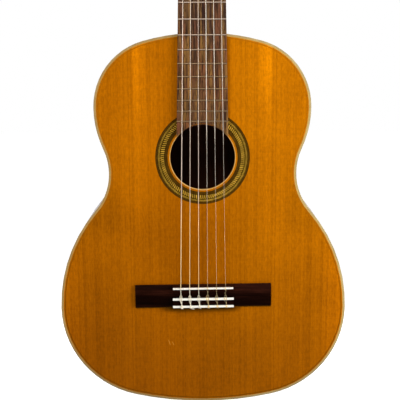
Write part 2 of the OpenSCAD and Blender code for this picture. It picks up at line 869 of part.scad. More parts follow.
// Half of a gear tooth's angle at a radius, along its involute
base_radius = gear_radius * cos(pressure_angle);
function involute(angle) = tan(angle) * 180 / PI - angle;
function tooth_half_angle(radius) =
    (worm_pitch / 2 - backlash) / 2 / gear_radius * 180 / PI
    + involute(pressure_angle) - involute(acos(min(1, base_radius / radius)));
flank_step = 0.1;
tooth_radii = [gear_radius - tooth_fall, base_radius + flank_step, gear_radius + flank_step,
    gear_radius + tooth_rise];
gear_outline = [for (tooth = [0:gear_teeth - 1])
    let (middle = 360 * tooth / gear_teeth - 90)
    each concat(
        [for (r = tooth_radii) r * [cos(middle - tooth_half_angle(r)), sin(middle - tooth_half_angle(r))]],
        [for (k = [3:-1:0]) let (r = tooth_radii[k])
            r * [cos(middle + tooth_half_angle(r)), sin(middle + tooth_half_angle(r))]]
    )];
gear_lean = gear_width * worm_pitch / (2 * PI * worm_radius) / gear_radius * 180 / PI;
module gear(i) {
    side = side_of(i);
    color("#c8a951") at_head() translate([0, roller_u(rank_of(i)), -roller_depth]) {
        translate([side * gear_x - gear_width / 2, 0, 0])
            rotate([0, 90, 0]) rotate([0, 0, -gear_lean / 2])
            linear_extrude(gear_width, twist = -gear_lean, slices = 1) polygon(gear_outline);
        from_side(side, gear_x + gear_width / 2 + spindle_end, roller_start, spindle_radius);
        from_side(side, gear_x - gear_width / 4, plate_face + plate_thickness + side_gap, collar_radius);
    }
}
module roller(i) {
    side = side_of(i);
    color("#efe9da") at_head() translate([0, roller_u(rank_of(i)), -roller_depth]) difference() {
        from_side(side, plate_face - side_gap, roller_start, roller_radius);
        from_side(side, plate_face + past, 0, spindle_radius + press_gap);
    }
}

// Strings, each a swept tube from its roller over nut and saddle to its knot
string_diameters = [0.71, 0.82, 1.02, 0.75, 0.91, 1.09];
string_sides = 6;
winding_gap = 0.25;
rest_gap = 0.05;
winding_turns = 2.2;
winding_steps = 22;
winding_spread = 0.15;
knot_side = 1.4;
knot_gap = 0.1;
knot_behind = 0.9;
knot_front = 1;
knot_half = 0.7;

function string_radius(i) = string_diameters[i - 1] / 2;
function nut_x(i) = nut_spread * (3.5 - i) / 5;
function saddle_x(i) = saddle_spread * (3.5 - i) / 5;
function nut_point(i) = [nut_x(i), nut_y + nut_thickness / 2, nut_string_bottom + string_radius(i)];
// The string bends where its two straight runs over the saddle's round top would meet
function saddle_point(i) =
    let (bend = (saddle_thickness / 2 + string_radius(i)) * tan(string_break_angle / 2))
    on_bridge(saddle_x(i), -bend, saddle_top + string_radius(i) + rest_gap);
function winding_radius(i) = roller_radius + winding_gap + string_radius(i);
// Where the string from the nut first touches its winding
function touch_angle(i) =
    let (away = to_head(nut_point(i)) - [roller_u(rank_of(i)), -roller_depth])
    heading(away) - acos(winding_radius(i) / norm(away));
function winding_point(i, turns) =
    let (angle = touch_angle(i) - 360 * turns)
    on_head(side_of(i) * (winding_x[rank_of(i)] + turns * (string_diameters[i - 1] + winding_spread)),
        roller_u(rank_of(i)) + winding_radius(i) * cos(angle),
        -roller_depth + winding_radius(i) * sin(angle));
function off_roller_point(i) = winding_point(i, 0);
function knot_route(i) =
    let (x = saddle_x(i), over = tie_top + string_radius(i) + knot_gap, behind = bridge_back - knot_behind,
        front = tie_front + knot_front)
    [
        on_bridge(x, tie_front + knot_front / 2, tie_hole_height),
        on_bridge(x, behind, tie_hole_height),
        on_bridge(x, behind, over),
        on_bridge(x, front, over),
        on_bridge(x + knot_side, front, tie_hole_height + knot_half),
        on_bridge(x + knot_side, front, tie_hole_height - knot_half)
    ];
function string_route(i) = concat(
    [for (k = [winding_steps:-1:0]) winding_point(i, winding_turns * k / winding_steps)],
    [nut_point(i), saddle_point(i)],
    knot_route(i)
);
function ring(centre, along, radius) =
    let (across = unit([1, 0, 0] - along * along[0]), up = cross(across, along))
    [for (k = [0:string_sides - 1])
        let (a = 360 * k / string_sides) centre + radius * (across * cos(a) + up * sin(a))];
function tube_sections(route, radius) =
    let (last = len(route) - 1)
    [for (k = [0:last])
        let (before = k > 0 ? unit(route[k] - route[k - 1]) : [0, 0, 0],
            after = k < last ? unit(route[k + 1] - route[k]) : [0, 0, 0])
        ring(route[k], unit(before + after), radius)];
module guitar_string(i) {
    color(i <= 3 ? "#e9e2cf" : "#c9bfa6") skin(tube_sections(string_route(i), string_radius(i)));
}

// The guitar hangs from its head: the origin is where a hanger holds it, just above the nut
hang_above_nut = 8;
hang_depth = 9;
hang_point = [0, head_y + hang_above_nut, -hang_depth];
module hung() {
    rotate([90, 0, 0]) translate(-hang_point) children();
}
hung() soundboard();
hung() rosette();
hung() top_purfling();
hung() top_binding();
hung() rib_bass();
hung() rib_treble();
hung() tail_graft();
hung() back();
hung() back_strip();
hung() back_binding();
hung() top_lining();
hung() back_lining();
hung() neck_block();
hung() tail_block();
hung() fan_braces();
hung() harmonic_bars();
hung() back_bars();
hung() bridge();
hung() saddle();
hung() tie_block_caps();
hung() neck();
hung() heel_cap();
hung() headstock();
hung() head_veneer();
hung() fingerboard();
hung() frets();
hung() nut();
hung() plate_bass();
hung() plate_treble();
hung() plate_screws();
for (i = one_to_six) {
    hung() worm(i);
    hung() button(i);
    hung() gear(i);
    hung() roller(i);
    hung() guitar_string(i);
}
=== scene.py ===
import json
import math

import bmesh
import bpy
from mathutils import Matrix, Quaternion, Vector


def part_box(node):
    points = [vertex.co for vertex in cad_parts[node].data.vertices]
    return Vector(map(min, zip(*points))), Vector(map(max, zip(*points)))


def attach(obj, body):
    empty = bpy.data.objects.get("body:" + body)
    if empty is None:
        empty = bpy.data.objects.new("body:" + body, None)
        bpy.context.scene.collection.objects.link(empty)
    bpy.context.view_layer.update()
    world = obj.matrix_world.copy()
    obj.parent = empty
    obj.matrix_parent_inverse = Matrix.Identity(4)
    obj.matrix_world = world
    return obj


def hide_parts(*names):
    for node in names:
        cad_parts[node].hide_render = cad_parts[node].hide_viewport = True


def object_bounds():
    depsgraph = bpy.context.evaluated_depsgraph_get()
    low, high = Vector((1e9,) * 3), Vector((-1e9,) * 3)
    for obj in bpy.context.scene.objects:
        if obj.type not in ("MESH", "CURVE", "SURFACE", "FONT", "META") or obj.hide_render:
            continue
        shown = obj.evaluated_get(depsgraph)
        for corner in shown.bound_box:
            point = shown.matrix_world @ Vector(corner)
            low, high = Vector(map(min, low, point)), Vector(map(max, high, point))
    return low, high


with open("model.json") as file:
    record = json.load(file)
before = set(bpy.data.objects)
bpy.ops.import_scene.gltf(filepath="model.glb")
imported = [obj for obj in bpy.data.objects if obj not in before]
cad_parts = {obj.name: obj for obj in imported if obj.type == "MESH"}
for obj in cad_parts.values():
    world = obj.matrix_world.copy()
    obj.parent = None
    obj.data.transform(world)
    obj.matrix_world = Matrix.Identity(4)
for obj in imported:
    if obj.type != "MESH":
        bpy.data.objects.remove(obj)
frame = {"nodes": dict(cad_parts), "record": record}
cad_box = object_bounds()
bpy.context.scene.view_settings.view_transform = "Standard"


# Soundboard: two bookmatched halves of straight-grained spruce, 2.5 mm thick, glued along the
# middle and planed flush with the inlays at its edge. It is French polished with amber shellac,
# which has darkened, and a few marks have been knocked into it below the bridge. Its colour also
# holds painted shade towards the tail, on the bass half, at the waist, behind the tie block and
# beside the fingerboard, and painted light on the flanks of the lower bout.
spruce_pale, spruce_deep = (0.570, 0.171, 0.0006, 1.0), (0.310, 0.085, 0.0003, 1.0)
spruce_mark = (0.620, 0.250, 0.0300, 1.0)
shellac_tint = (1.0, 0.50, 0.02, 1.0)
year_rings_per_metre, grain_lines_per_metre, broad_bands_per_metre = 760, 270, 55
wanders_per_metre, grain_wander = 5.0, 0.0022
ray_squeeze, fleck_squeeze, clouds_per_metre = (90.0, 90.0, 420.0), (620.0, 620.0, 210.0), 9.0
# A shade's range gives two places in metres, and then its share at each, if these aren't none and all.
seam_line = (0.0, 0.0011, 0.35, 0.0)
paler_band, band_across = (1.60, 1.66, 1.56, 1.0), (0.066, 0.0855, 0.0868, 0.0928)
band_upper, band_lower = (-0.48, -0.35, 0.28, 0.95), (-0.68, -0.55)
# Painted shade: the top is darker towards the tail, and a little darker and redder on the bass half.
painted_tail_shade, tail_along = (0.60, 0.530, 0.42, 1.0), (-0.84, -0.46, 1.0, 0.0)
painted_bass_half_shade, bass_across = (0.98, 0.935, 0.90, 1.0), (-0.06, 0.06, 1.0, 0.0)
# A round patch below the hole is a little darker.
darker_patch_below_hole, patch_middle, patch_reach = (0.86, 0.84, 0.80, 1.0), (-0.02, 0.0, -0.585), (0.02, 0.11, 1.0, 0.0)
# Painted light makes the lower bout's flanks paler, and painted shade darkens the waist.
painted_flank_light, flank_across, flank_along = (1.34, 1.33, 1.30, 1.0), (0.148, 0.180), (-0.640, -0.580, 1.0, 0.0)
flank_by_side = (-0.10, 0.10, 0.75, 1.0)
painted_waist_shade, waist_across = (0.86, 0.86, 0.86, 1.0), (0.103, 0.117)
waist_along = (-0.605, -0.580, -0.545, -0.520)
# Painted shadow behind the tie block and along the treble side of the fingerboard, and a dark line painted
# along the rear edge of the bridge.
painted_dark, bridge_rear, bridge_slant = (0.03, 0.03, 0.03, 1.0), -0.6919, 0.0105
rear_edge_line, line_across = (0.0012, 0.0030, 0.95, 0.0), (0.0885, 0.0905, 1.0, 0.0)
tie_block_shadow, corner_across = (0.0024, 0.0115, 0.96, 0.0), (-0.066, -0.037, 0.035, 0.056)
behind_bridge_front = (-0.012, -0.010)
board_shadow, treble_half, beside_board = (0.0300, 0.0390, 0.40, 0.0), (0.010, 0.020), (-0.470, -0.450)
marks = [((-0.0452, -0.7425), 0.0048, 0.0009, 0.30), ((-0.0402, -0.7440), 0.0034, 0.0008, 0.45)]
mark_strength = 0.7


def feed(tree, node, inputs):
    """Gives each input of a node a plain value or what another node gives."""
    for key, value in inputs.items():
        if isinstance(value, Value):
            tree.links.new(value.socket, node.inputs[key])
        else:
            node.inputs[key].default_value = value


def add(tree, kind, inputs=None, output=0, **settings):
    """What a new node with these settings and inputs gives."""
    node = tree.nodes.new(kind)
    for key, value in settings.items():
        setattr(node, key, value)
    feed(tree, node, inputs or {})
    return Value(tree, node.outputs[output])


class Value:
    """What a node gives, with the sums, patterns and colours that are worked out from it."""

    def __init__(self, tree, socket):
        self.tree, self.socket = tree, socket

    def work_out(self, operation, first, second=0.0):
        return add(self.tree, "ShaderNodeMath", {0: first, 1: second}, operation=operation)

    def __add__(self, other):
        return self.work_out("ADD", self, other)

    def __sub__(self, other):
        return self.work_out("SUBTRACT", self, other)

    def __rsub__(self, other):
        return self.work_out("SUBTRACT", other, self)

    def __mul__(self, other):
        return self.work_out("MULTIPLY", self, other)

    def __truediv__(self, other):
        return self.work_out("DIVIDE", self, other)

    def __abs__(self):
        return self.work_out("ABSOLUTE", self)

    def or_more(self, other):
        return self.work_out("MAXIMUM", self, other)

    def split(self):
        """Its three sides, each on its own."""
        first_side = add(self.tree, "ShaderNodeSeparateXYZ", {0: self})
        return [Value(self.tree, side) for side in first_side.socket.node.outputs]

    def squeezed(self, scale):
        return add(self.tree, "ShaderNodeMapping", {"Vector": self, "Scale": scale})

    def streaks(self, scale, detail=2.0):
        """Noise that changes along this one number only."""
        inputs = {"W": self, "Scale": scale, "Detail": detail}
        return add(self.tree, "ShaderNodeTexNoise", inputs, noise_dimensions="1D")

    def clouds(self, scale, detail=3.0, distortion=0.0):
        inputs = {"Vector": self, "Scale": scale, "Detail": detail, "Distortion": distortion}
        return add(self.tree, "ShaderNodeTexNoise", inputs)

    def spread(self, low, high, to_low=0.0, to_high=1.0):
        """Stretched from one range to another, and held at that range's ends."""
        inputs = {0: self, 1: low, 2: high, 3: to_low, 4: to_high}
        return add(self.tree, "ShaderNodeMapRange", inputs, interpolation_type="SMOOTHSTEP")

    def within(self, start, full, end, gone):
        """A share that rises from start to full and falls away from end to gone."""
        return self.spread(start, full) * self.spread(end, gone, 1.0, 0.0)

    def between(self, first, second, blend_type="MIX"):
        """Two colours in this share."""
        colour_share, first_colour, second_colour, mixed_colour = 0, 6, 7, 2
        inputs = {colour_share: self, first_colour: first, second_colour: second}
        return add(self.tree, "ShaderNodeMix", inputs, mixed_colour, data_type="RGBA", blend_type=blend_type)


def new_material(name):
    """A material, and the place on its piece that its patterns are worked out from."""
    material = bpy.data.materials.new(name)
    material.use_nodes = True
    return material, add(material.node_tree, "ShaderNodeTexCoord", output="Object")


def surface(material, colour, roughness, height=None, depth=0.0, **others):
    """The material with its colour, roughness, relief and other inputs joined to its shader."""
    tree = material.node_tree
    inputs = {"Base Color": colour, "Roughness": roughness}
    if height is not None:
        inputs["Normal"] = add(tree, "ShaderNodeBump", {"Height": height, "Distance": depth})
    inputs.update((key.replace("_", " "), value) for key, value in others.items())
    feed(tree, tree.nodes["Principled BSDF"], inputs)
    return material


def mark_share(place, mark):
    """One inside a short slanting mark on the face, and nothing outside it."""
    (x, z), half_length, half_width, slant = mark
    centred = add(place.tree, "ShaderNodeMapping", {"Vector": place, "Location": (-x, 0.0, -z)})
    turned = add(place.tree, "ShaderNodeMapping", {"Vector": centred, "Rotation": (0.0, slant, 0.0)})
    across, _, along = turned.split()
    near = abs(across).spread(0.0, half_width, 1.0, 0.0)
    return near * abs(along).spread(half_length / 2, half_length, 1.0, 0.0)


def painted_dark_share(x, z):
    """A dark line painted along the rear edge of the bridge, and painted shadow behind its tie block and
    along the treble side of the fingerboard."""
    behind = x * bridge_slant + bridge_rear - z
    line = behind.spread(*rear_edge_line) * abs(x).spread(*line_across)
    corner = behind.spread(*tie_block_shadow) * x.within(*corner_across)
    by_bridge = line.or_more(corner) * behind.spread(*behind_bridge_front)
    by_board = x.spread(*board_shadow) * x.spread(*treble_half) * z.spread(*beside_board)
    return by_bridge.or_more(by_board)


def amber_spruce():
    """Grain that mirrors at the seam under amber shellac, with painted light and shade, a darker patch and a
    few marks.
    """
    material, place = new_material("amber_spruce")
    x, _, z = place.split()
    half = abs(x)
    across = half + z.streaks(wanders_per_metre) * grain_wander
    rings = across.streaks(year_rings_per_metre, 1.0).spread(0.42, 0.72)
    lines = across.streaks(grain_lines_per_metre, 1.0).spread(0.34, 0.70)
    bands = across.streaks(broad_bands_per_metre, 3.0).spread(0.30, 0.70)
    rays = place.squeezed(ray_squeeze).clouds(1.0, 2.0)
    flecks = place.squeezed(fleck_squeeze).clouds(1.0, 2.0)
    cloud = place.clouds(clouds_per_metre, 2.0)
    deep = (bands * 0.22 + lines * 0.20 + rings * 0.16 + rays.spread(0.32, 0.72, 0.0, 0.15)
            + flecks.spread(0.30, 0.70, 0.0, 0.36) + cloud.spread(0.35, 0.70, -0.12, 0.12))
    colour = deep.between(spruce_pale, spruce_deep)
    band = across.within(*band_across) * (z.spread(*band_upper) * z.spread(*band_lower))
    colour = band.between(colour, paler_band, "MULTIPLY")
    colour = half.spread(*seam_line).between(colour, spruce_deep)
    inputs = {0: place, 1: patch_middle}
    from_patch_middle = add(place.tree, "ShaderNodeVectorMath", inputs, "Value", operation="DISTANCE")
    flank = half.spread(*flank_across) * z.spread(*flank_along) * x.spread(*flank_by_side)
    waist = z.within(*waist_along) * half.spread(*waist_across)
    # Painted shade towards the tail, on the bass half and at the waist, a darker patch below the hole,
    # painted light on the flanks, and the painted dark by the bridge and fingerboard.
    shades = [(z.spread(*tail_along), painted_tail_shade), (x.spread(*bass_across), painted_bass_half_shade),
              (from_patch_middle.spread(*patch_reach), darker_patch_below_hole), (flank, painted_flank_light), (waist, painted_waist_shade),
              (painted_dark_share(x, z), painted_dark)]
    for share, shade in shades:
        colour = share.between(colour, shade, "MULTIPLY")
    for mark in marks:
        colour = (mark_share(place, mark) * mark_strength).between(colour, spruce_mark)
    return surface(material, colour, cloud.spread(0.3, 0.7, 0.24, 0.34), rings, 0.00003,
                   Specular_IOR_Level=0.30, Specular_Tint=shellac_tint)


def dress(node_name, material):
    """Gives a CAD node's own mesh its finish."""
    slots = frame["nodes"][node_name].data.materials
    slots.clear()
    slots.append(material)


dress("soundboard", amber_spruce())
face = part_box("soundboard")[0].y


# Rosette: a ring of coloured wood let into the soundboard round its hole. Dark rings of dyed
# veneer hold two rows of mosaic, a bold one of slanting gold strips and a fine one outside it,
# both cut from glued blocks of veneer.
ring_widths = [("edge", 0.0006), ("olive", 0.0032), ("black", 0.0004), ("ground", 0.0054), ("black", 0.0003),
               ("ground", 0.0030), ("olive", 0.0025), ("edge", 0.0006)]
mosaic_rows = [("wheat_ears", 3, 124, 0.0049, 0.0012, 0.30), ("herringbone", 5, 264, 0.0028, 0.0005, -0.55)]
strip_depth, strip_rise = 0.0006, 0.00004
ring_steps = 192
rosette_low, rosette_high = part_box("rosette")
hole_height = (rosette_low.z + rosette_high.z) / 2
rosette_inner = (rosette_high.x - rosette_low.x) / 2 - sum(width for _, width in ring_widths)
veneer_black = (0.016, 0.009, 0.003, 1.0)
veneer_olive = (0.088, 0.039, 0.004, 1.0)
veneer_ground = (0.026, 0.0145, 0.0020, 1.0)
mosaic_gold = (0.740, 0.420, 0.042, 1.0)


def dyed_veneer(name, pale, dark):
    """Thin dyed wood with a fine mottle, under the top's shellac."""
    material, place = new_material(name)
    mottle = place.clouds(700.0, 3.0, 0.5)
    grain = place.clouds(130.0, 2.0)
    colour = (mottle * grain).spread(0.12, 0.42).between(dark, pale)
    return surface(material, colour, mottle.spread(0.3, 0.7, 0.26, 0.36), mottle, 0.00002,
                   Specular_IOR_Level=0.12, Specular_Tint=shellac_tint)


def darker(colour, share):
    return (colour[0] * share, colour[1] * share, colour[2] * share, 1.0)


def new_piece(name, mesh, body, slot, *replaced):
    """An object for a finished mesh, which rides on a body and may stand for CAD nodes."""
    piece = bpy.data.objects.new(name, mesh)
    bpy.context.scene.collection.objects.link(piece)
    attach(piece, body)
    if replaced:
        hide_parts(*replaced)
    return piece


def turned_ring(name, circles):
    """A closed ring round the hole, through circles of a radius and a depth each."""
    points, faces = [], []
    for at, (radius, depth) in enumerate(circles):
        here, there = at * ring_steps, (at + 1) % len(circles) * ring_steps
        for step in range(ring_steps):
            turn, after = 2 * math.pi * step / ring_steps, (step + 1) % ring_steps
            points.append((radius * math.cos(turn), depth, hole_height + radius * math.sin(turn)))
            faces.append((here + step, there + step, there + after, here + after))
    mesh = bpy.data.meshes.new(name)
    mesh.from_pydata(points, [], faces)
    return mesh


def rosette_rings(materials):
    """Flat rings side by side on the face, with an outer and inner wall and a floor."""
    radii = [rosette_inner]
    for _, width in ring_widths:
        radii.append(radii[-1] + width)
    walls = [(radii[-1], rosette_high.y), (radii[0], rosette_high.y)]
    mesh = turned_ring("rosette_rings", [(radius, face) for radius in radii] + walls)
    for material in materials.values():
        mesh.materials.append(material)
    kinds = [list(materials).index(kind) for kind, _ in ring_widths]
    for number, polygon in enumerate(mesh.polygons):
        band = number // ring_steps
        polygon.material_index = kinds[band] if band < len(kinds) else 0
    return mesh


def new_tree(name, inputs):
    """A geometry tree with named inputs, and what each of them gives."""
    tree = bpy.data.node_groups.new(name, "GeometryNodeTree")
    for label, kind in inputs:
        tree.interface.new_socket(label, in_out="INPUT", socket_type="NodeSocket" + kind)
    tree.interface.new_socket("Geometry", in_out="OUTPUT", socket_type="NodeSocketGeometry")
    given = tree.nodes.new("NodeGroupInput").outputs
    return tree, {label: Value(tree, given[label]) for label, _ in inputs}


def end_tree(tree, geometry, material):
    """Closes a tree with plain geometry in one material."""
    real = add(tree, "GeometryNodeRealizeInstances", {"Geometry": geometry})
    painted = add(tree, "GeometryNodeSetMaterial", {"Geometry": real, "Material": material})
    feed(tree, tree.nodes.new("NodeGroupOutput"), {"Geometry": painted})
    return tree


def grow(tree, values, name, points=()):
    """The plain mesh that a tree makes from its named inputs, and from points if it takes them."""
    start = bpy.data.meshes.new(name + "_start")
    start.from_pydata(points, [], [])
    holder = bpy.data.objects.new(name, start)
    bpy.context.scene.collection.objects.link(holder)
    modifier = holder.modifiers.new(name, "NODES")
    modifier.node_group = tree
    for item in tree.interface.items_tree:
        if item.in_out == "INPUT" and item.name in values:
            modifier[item.identifier] = values[item.name]
    bpy.context.view_layer.update()
    mesh = bpy.data.meshes.new_from_object(holder.evaluated_get(bpy.context.evaluated_depsgraph_get()))
    holder.modifiers.remove(modifier)
    bpy.data.objects.remove(holder)
    mesh.name = name
    return mesh


def strip_ring_tree():
    """Strips set in a circle round the hole, each turned by a slant."""
    tree, given = new_tree("ring_of_strips", [
        ("Count", "Int"), ("Radius", "Float"), ("Size", "Vector"), ("Slant", "Float"), ("Centre", "Vector"),
        ("Material", "Material")])
    circle = add(tree, "GeometryNodeMeshCircle", {"Vertices": given["Count"], "Radius": given["Radius"]})
    strip = add(tree, "GeometryNodeMeshCube", {"Size": given["Size"]}, "Mesh")
    turn = add(tree, "GeometryNodeInputIndex") / given["Count"] * (2 * math.pi) + given["Slant"]
    spin = add(tree, "ShaderNodeCombineXYZ", {"Z": turn})
    ring = add(tree, "GeometryNodeInstanceOnPoints", {"Points": circle, "Instance": strip, "Rotation": spin})
    placed = {"Geometry": ring, "Translation": given["Centre"], "Rotation": (math.pi / 2, 0.0, 0.0)}
    return end_tree(tree, add(tree, "GeometryNodeTransform", placed), given["Material"])


veneers = {
    "edge": dyed_veneer("rosette_edge_veneer", darker(veneer_olive, 0.80), darker(veneer_olive, 0.40)),
    "olive": dyed_veneer("rosette_olive_veneer", veneer_olive, darker(veneer_olive, 0.5)),
    "black": dyed_veneer("rosette_black_veneer", darker(veneer_ground, 0.5), veneer_black),
    "ground": dyed_veneer("rosette_ground", veneer_ground, darker(veneer_ground, 0.45)),
}
new_piece("rosette_rings", rosette_rings(veneers), "guitar", "rosette_mosaic", "rosette")
gold_strips = dyed_veneer("rosette_gold_strips", mosaic_gold, darker(mosaic_gold, 0.45))
strips_tree = strip_ring_tree()
for row_name, ring, count, length, width, slant in mosaic_rows:
    middle = rosette_inner + sum(across for _, across in ring_widths[:ring]) + ring_widths[ring][1] / 2
    row = grow(strips_tree, {
        "Count": count, "Radius": middle, "Size": (length, width, strip_depth), "Slant": slant,
        "Centre": (0.0, face + strip_depth / 2 - strip_rise, hole_height), "Material": gold_strips,
    }, "rosette_" + row_name)
    new_piece("rosette_" + row_name, row, "guitar", "rosette_mosaic")


# Rim of the hole: the cut edge of the soundboard, rounded over with a scraper. It is coloured as a
# thin pale line, bare spruce and partly a painted highlight on the rounded edge, with painted shade
# where it passes near the fingerboard's end.
# The pale rim is partly a painted highlight on the rounded edge, and painted shade darkens it near the
# fingerboard.
rim_colours = ((0.760, 0.450, 0.130, 1.0), (0.600, 0.310, 0.060, 1.0))
rim_painted_shade = [((0.030, 0.014, 0.005, 1.0), "MIX", "Z", -0.470, -0.460)]
rim_profile = [(0.00075, 0.00250), (-0.00022, 0.00250), (-0.00022, 0.00035), (-0.00010, 0.00006),
               (0.00020, -0.00007), (0.00075, -0.00004)]
spruce_inside_rosette, rim_sharp = 0.0030, math.radians(60.0)
hole_radius = rosette_inner - spruce_inside_rosette


def with_stains_and_shades(colour, place, stains_and_shades):
    """The colour with stains and with painted light and shade, each of which comes in between two places
    along an axis.
    """
    sides = dict(zip("XYZ", place.split()))
    for tone, blend_type, axis, plain_at, full_at in stains_and_shades:
        colour = sides[axis].spread(plain_at, full_at).between(colour, tone, blend_type)
    return colour


def mottled_finish(name, pale, dark, scale, roughness_low, roughness_high, stains_and_shades=(), **others):
    """Close-grained wood, bone or plastic with a faint mottle and no clear direction."""
    material, place = new_material(name)
    mottle = place.clouds(scale, 4.0, 0.4)
    fine = place.clouds(scale * 9, 2.0)
    colour = with_stains_and_shades((mottle * 0.6 + fine * 0.4).spread(0.32, 0.68).between(dark, pale), place, stains_and_shades)
    roughness = mottle.spread(0.3, 0.7, roughness_low, roughness_high)
    return surface(material, colour, roughness, fine, 0.00002, **others)


rim = turned_ring("hole_rim", [(hole_radius + outward, face + inward) for outward, inward in rim_profile])
rim.materials.append(mottled_finish("bare_spruce_edge_and_highlight", *rim_colours, 150.0, 0.30, 0.42, rim_painted_shade,
                                    Specular_IOR_Level=0.2))
rim.shade_smooth()
rim.set_sharp_from_angle(angle=rim_sharp)
new_piece("hole_rim", rim, "guitar", "amber_spruce")


# Edge of the top: a brown wooden binding let into the corner of soundboard and ribs, bent hot and
# scraped flush, with a cream line of holly inside it and a thin dark line beyond that. The back's
# edge is bound in the same way. Painted light makes binding and purfling paler and greyer on the
# treble side, and painted shade darkens them and the dark line towards the tail.
binding_colours = ((0.430, 0.285, 0.115, 1.0), (0.330, 0.205, 0.075, 1.0))
purfling_colours = ((0.500, 0.285, 0.065, 1.0), (0.400, 0.215, 0.040, 1.0))
# Painted shade towards the tail, and painted light that makes the treble side paler and greyer.
edge_painted_light_and_shade = [((0.72, 0.72, 0.74, 1.0), "MULTIPLY", "Z", -0.715, -0.790),
               ((1.14, 1.30, 1.50, 1.0), "MULTIPLY", "X", -0.020, 0.110)]
edge_line_colours = ((0.420, 0.130, 0.003, 1.0), (0.330, 0.100, 0.002, 1.0))
# Painted shade darkens the dark line towards the tail.
edge_line_painted_shade = [((0.42, 0.42, 0.50, 1.0), "MULTIPLY", "Z", -0.520, -0.730)]
edge_line_inset, edge_line_width, edge_line_depth, edge_line_rise = 0.0013, 0.0011, 0.0003, 0.00003
upper_bout_middle, lower_bout_middle = -0.43, -0.62
weld_distance, corner_segments = 0.000002, 2
flat_enough, sharp_turn = math.radians(0.5), math.radians(35.0)


def weigh_normals(mesh):
    """Shades every corner by the faces round it that make no sharp turn, by their areas."""
    limit = math.cos(sharp_turn)
    around = [[] for _ in mesh.vertices]
    for polygon in mesh.polygons:
        for corner in polygon.vertices:
            around[corner].append((polygon.normal.copy(), polygon.area))
    normals = []
    for polygon in mesh.polygons:
        for corner in polygon.vertices:
            near = [normal * area for normal, area in around[corner] if normal.dot(polygon.normal) > limit]
            normals.append(sum(near, Vector()).normalized())
    mesh.shade_smooth()
    mesh.normals_split_custom_set(normals)


def smooth_copy(node_name, name, material, body="guitar", edge=0.0):
    """A welded copy of a CAD node with smooth faces and, where an edge is given, rounded corners."""
    shape = bmesh.new()
    shape.from_mesh(frame["nodes"][node_name].data)
    bmesh.ops.remove_doubles(shape, verts=shape.verts, dist=weld_distance)
    if edge:
        bmesh.ops.dissolve_limit(shape, angle_limit=flat_enough, verts=shape.verts, edges=shape.edges)
        corners = [e for e in shape.edges if len(e.link_faces) == 2 and e.calc_face_angle() > sharp_turn]
        bmesh.ops.bevel(shape, geom=corners, offset=edge, segments=corner_segments, profile=0.5,
                        affect="EDGES", clamp_overlap=True)
    shape.verts.index_update()
    mesh = bpy.data.meshes.new(name)
    faces = [[vert.index for vert in polygon.verts] for polygon in shape.faces]
    mesh.from_pydata([vert.co for vert in shape.verts], [], faces)
    shape.free()
    weigh_normals(mesh)
    mesh.materials.append(material)
    slot = next(part["material_slot"] for part in frame["record"]["subparts"] if part["node"] == node_name)
    return new_piece(name, mesh, body, slot, node_name)


def plain_mesh(shape, name, material):
    """The mesh of a worked shape, in one material."""
    mesh = bpy.data.meshes.new(name)
    shape.to_mesh(mesh)
    shape.free()
    mesh.materials.append(material)
    return mesh


def looks_into_body(polygon):
    """Whether an upright face is turned to the middle of the body."""
    height = min(max(polygon.center.z, lower_bout_middle), upper_bout_middle)
    return polygon.normal.dot(Vector((0.0, polygon.center.y, height)) - polygon.center) > 0


def dark_line(purfling, material):
    """A thin line that runs beside the inner edge of the purfling."""
    sharing = {}
    for polygon in purfling.polygons:
        for edge in polygon.edge_keys:
            sharing.setdefault(edge, []).append(polygon)
    inward, runs = {}, []
    for edge, polygons in sharing.items():
        walls = [polygon for polygon in polygons if abs(polygon.normal.y) < 0.5 and looks_into_body(polygon)]
        if walls and any(polygon.normal.y < -0.5 for polygon in polygons):
            runs.append(edge)
            for corner in edge:
                inward[corner] = inward.get(corner, Vector()) + walls[0].normal
    shape, sections = bmesh.new(), {}
    up, down = Vector((0.0, -edge_line_rise, 0.0)), Vector((0.0, edge_line_depth, 0.0))
    for corner, lean in inward.items():
        lean = Vector((lean.x, 0.0, lean.z)).normalized()
        start, across = purfling.vertices[corner].co + lean * edge_line_inset, lean * edge_line_width
        sections[corner] = [shape.verts.new(start + at) for at in (up, across + up, across + down, down)]
    for first, second in runs:
        here, there = sections[first], sections[second]
        for at in range(len(here)):
            shape.faces.new((here[at - 1], here[at], there[at], there[at - 1]))
    for corner, section in sections.items():
        if sum(corner in edge for edge in runs) == 1:
            shape.faces.new(section)
    bmesh.ops.recalc_face_normals(shape, faces=shape.faces)
    return plain_mesh(shape, "top_dark_line", material)


brown_binding = mottled_finish("brown_binding", *binding_colours, 60.0, 0.28, 0.40, edge_painted_light_and_shade,
                               Specular_IOR_Level=0.2)
cream_purfling = mottled_finish("cream_purfling", *purfling_colours, 90.0, 0.30, 0.42, edge_painted_light_and_shade,
                                Specular_IOR_Level=0.2)
line_veneer = mottled_finish("edge_line_veneer", *edge_line_colours, 120.0, 0.26, 0.36, edge_line_painted_shade,
                             Specular_IOR_Level=0.12, Specular_Tint=shellac_tint)
smooth_copy("top_binding", "top_binding_strip", brown_binding)
smooth_copy("back_binding", "back_binding_strip", brown_binding)
cream_line = smooth_copy("top_purfling", "top_purfling_line", cream_purfling)
new_piece("top_dark_line", dark_line(cream_line.data, line_veneer), "guitar", "brown_binding")


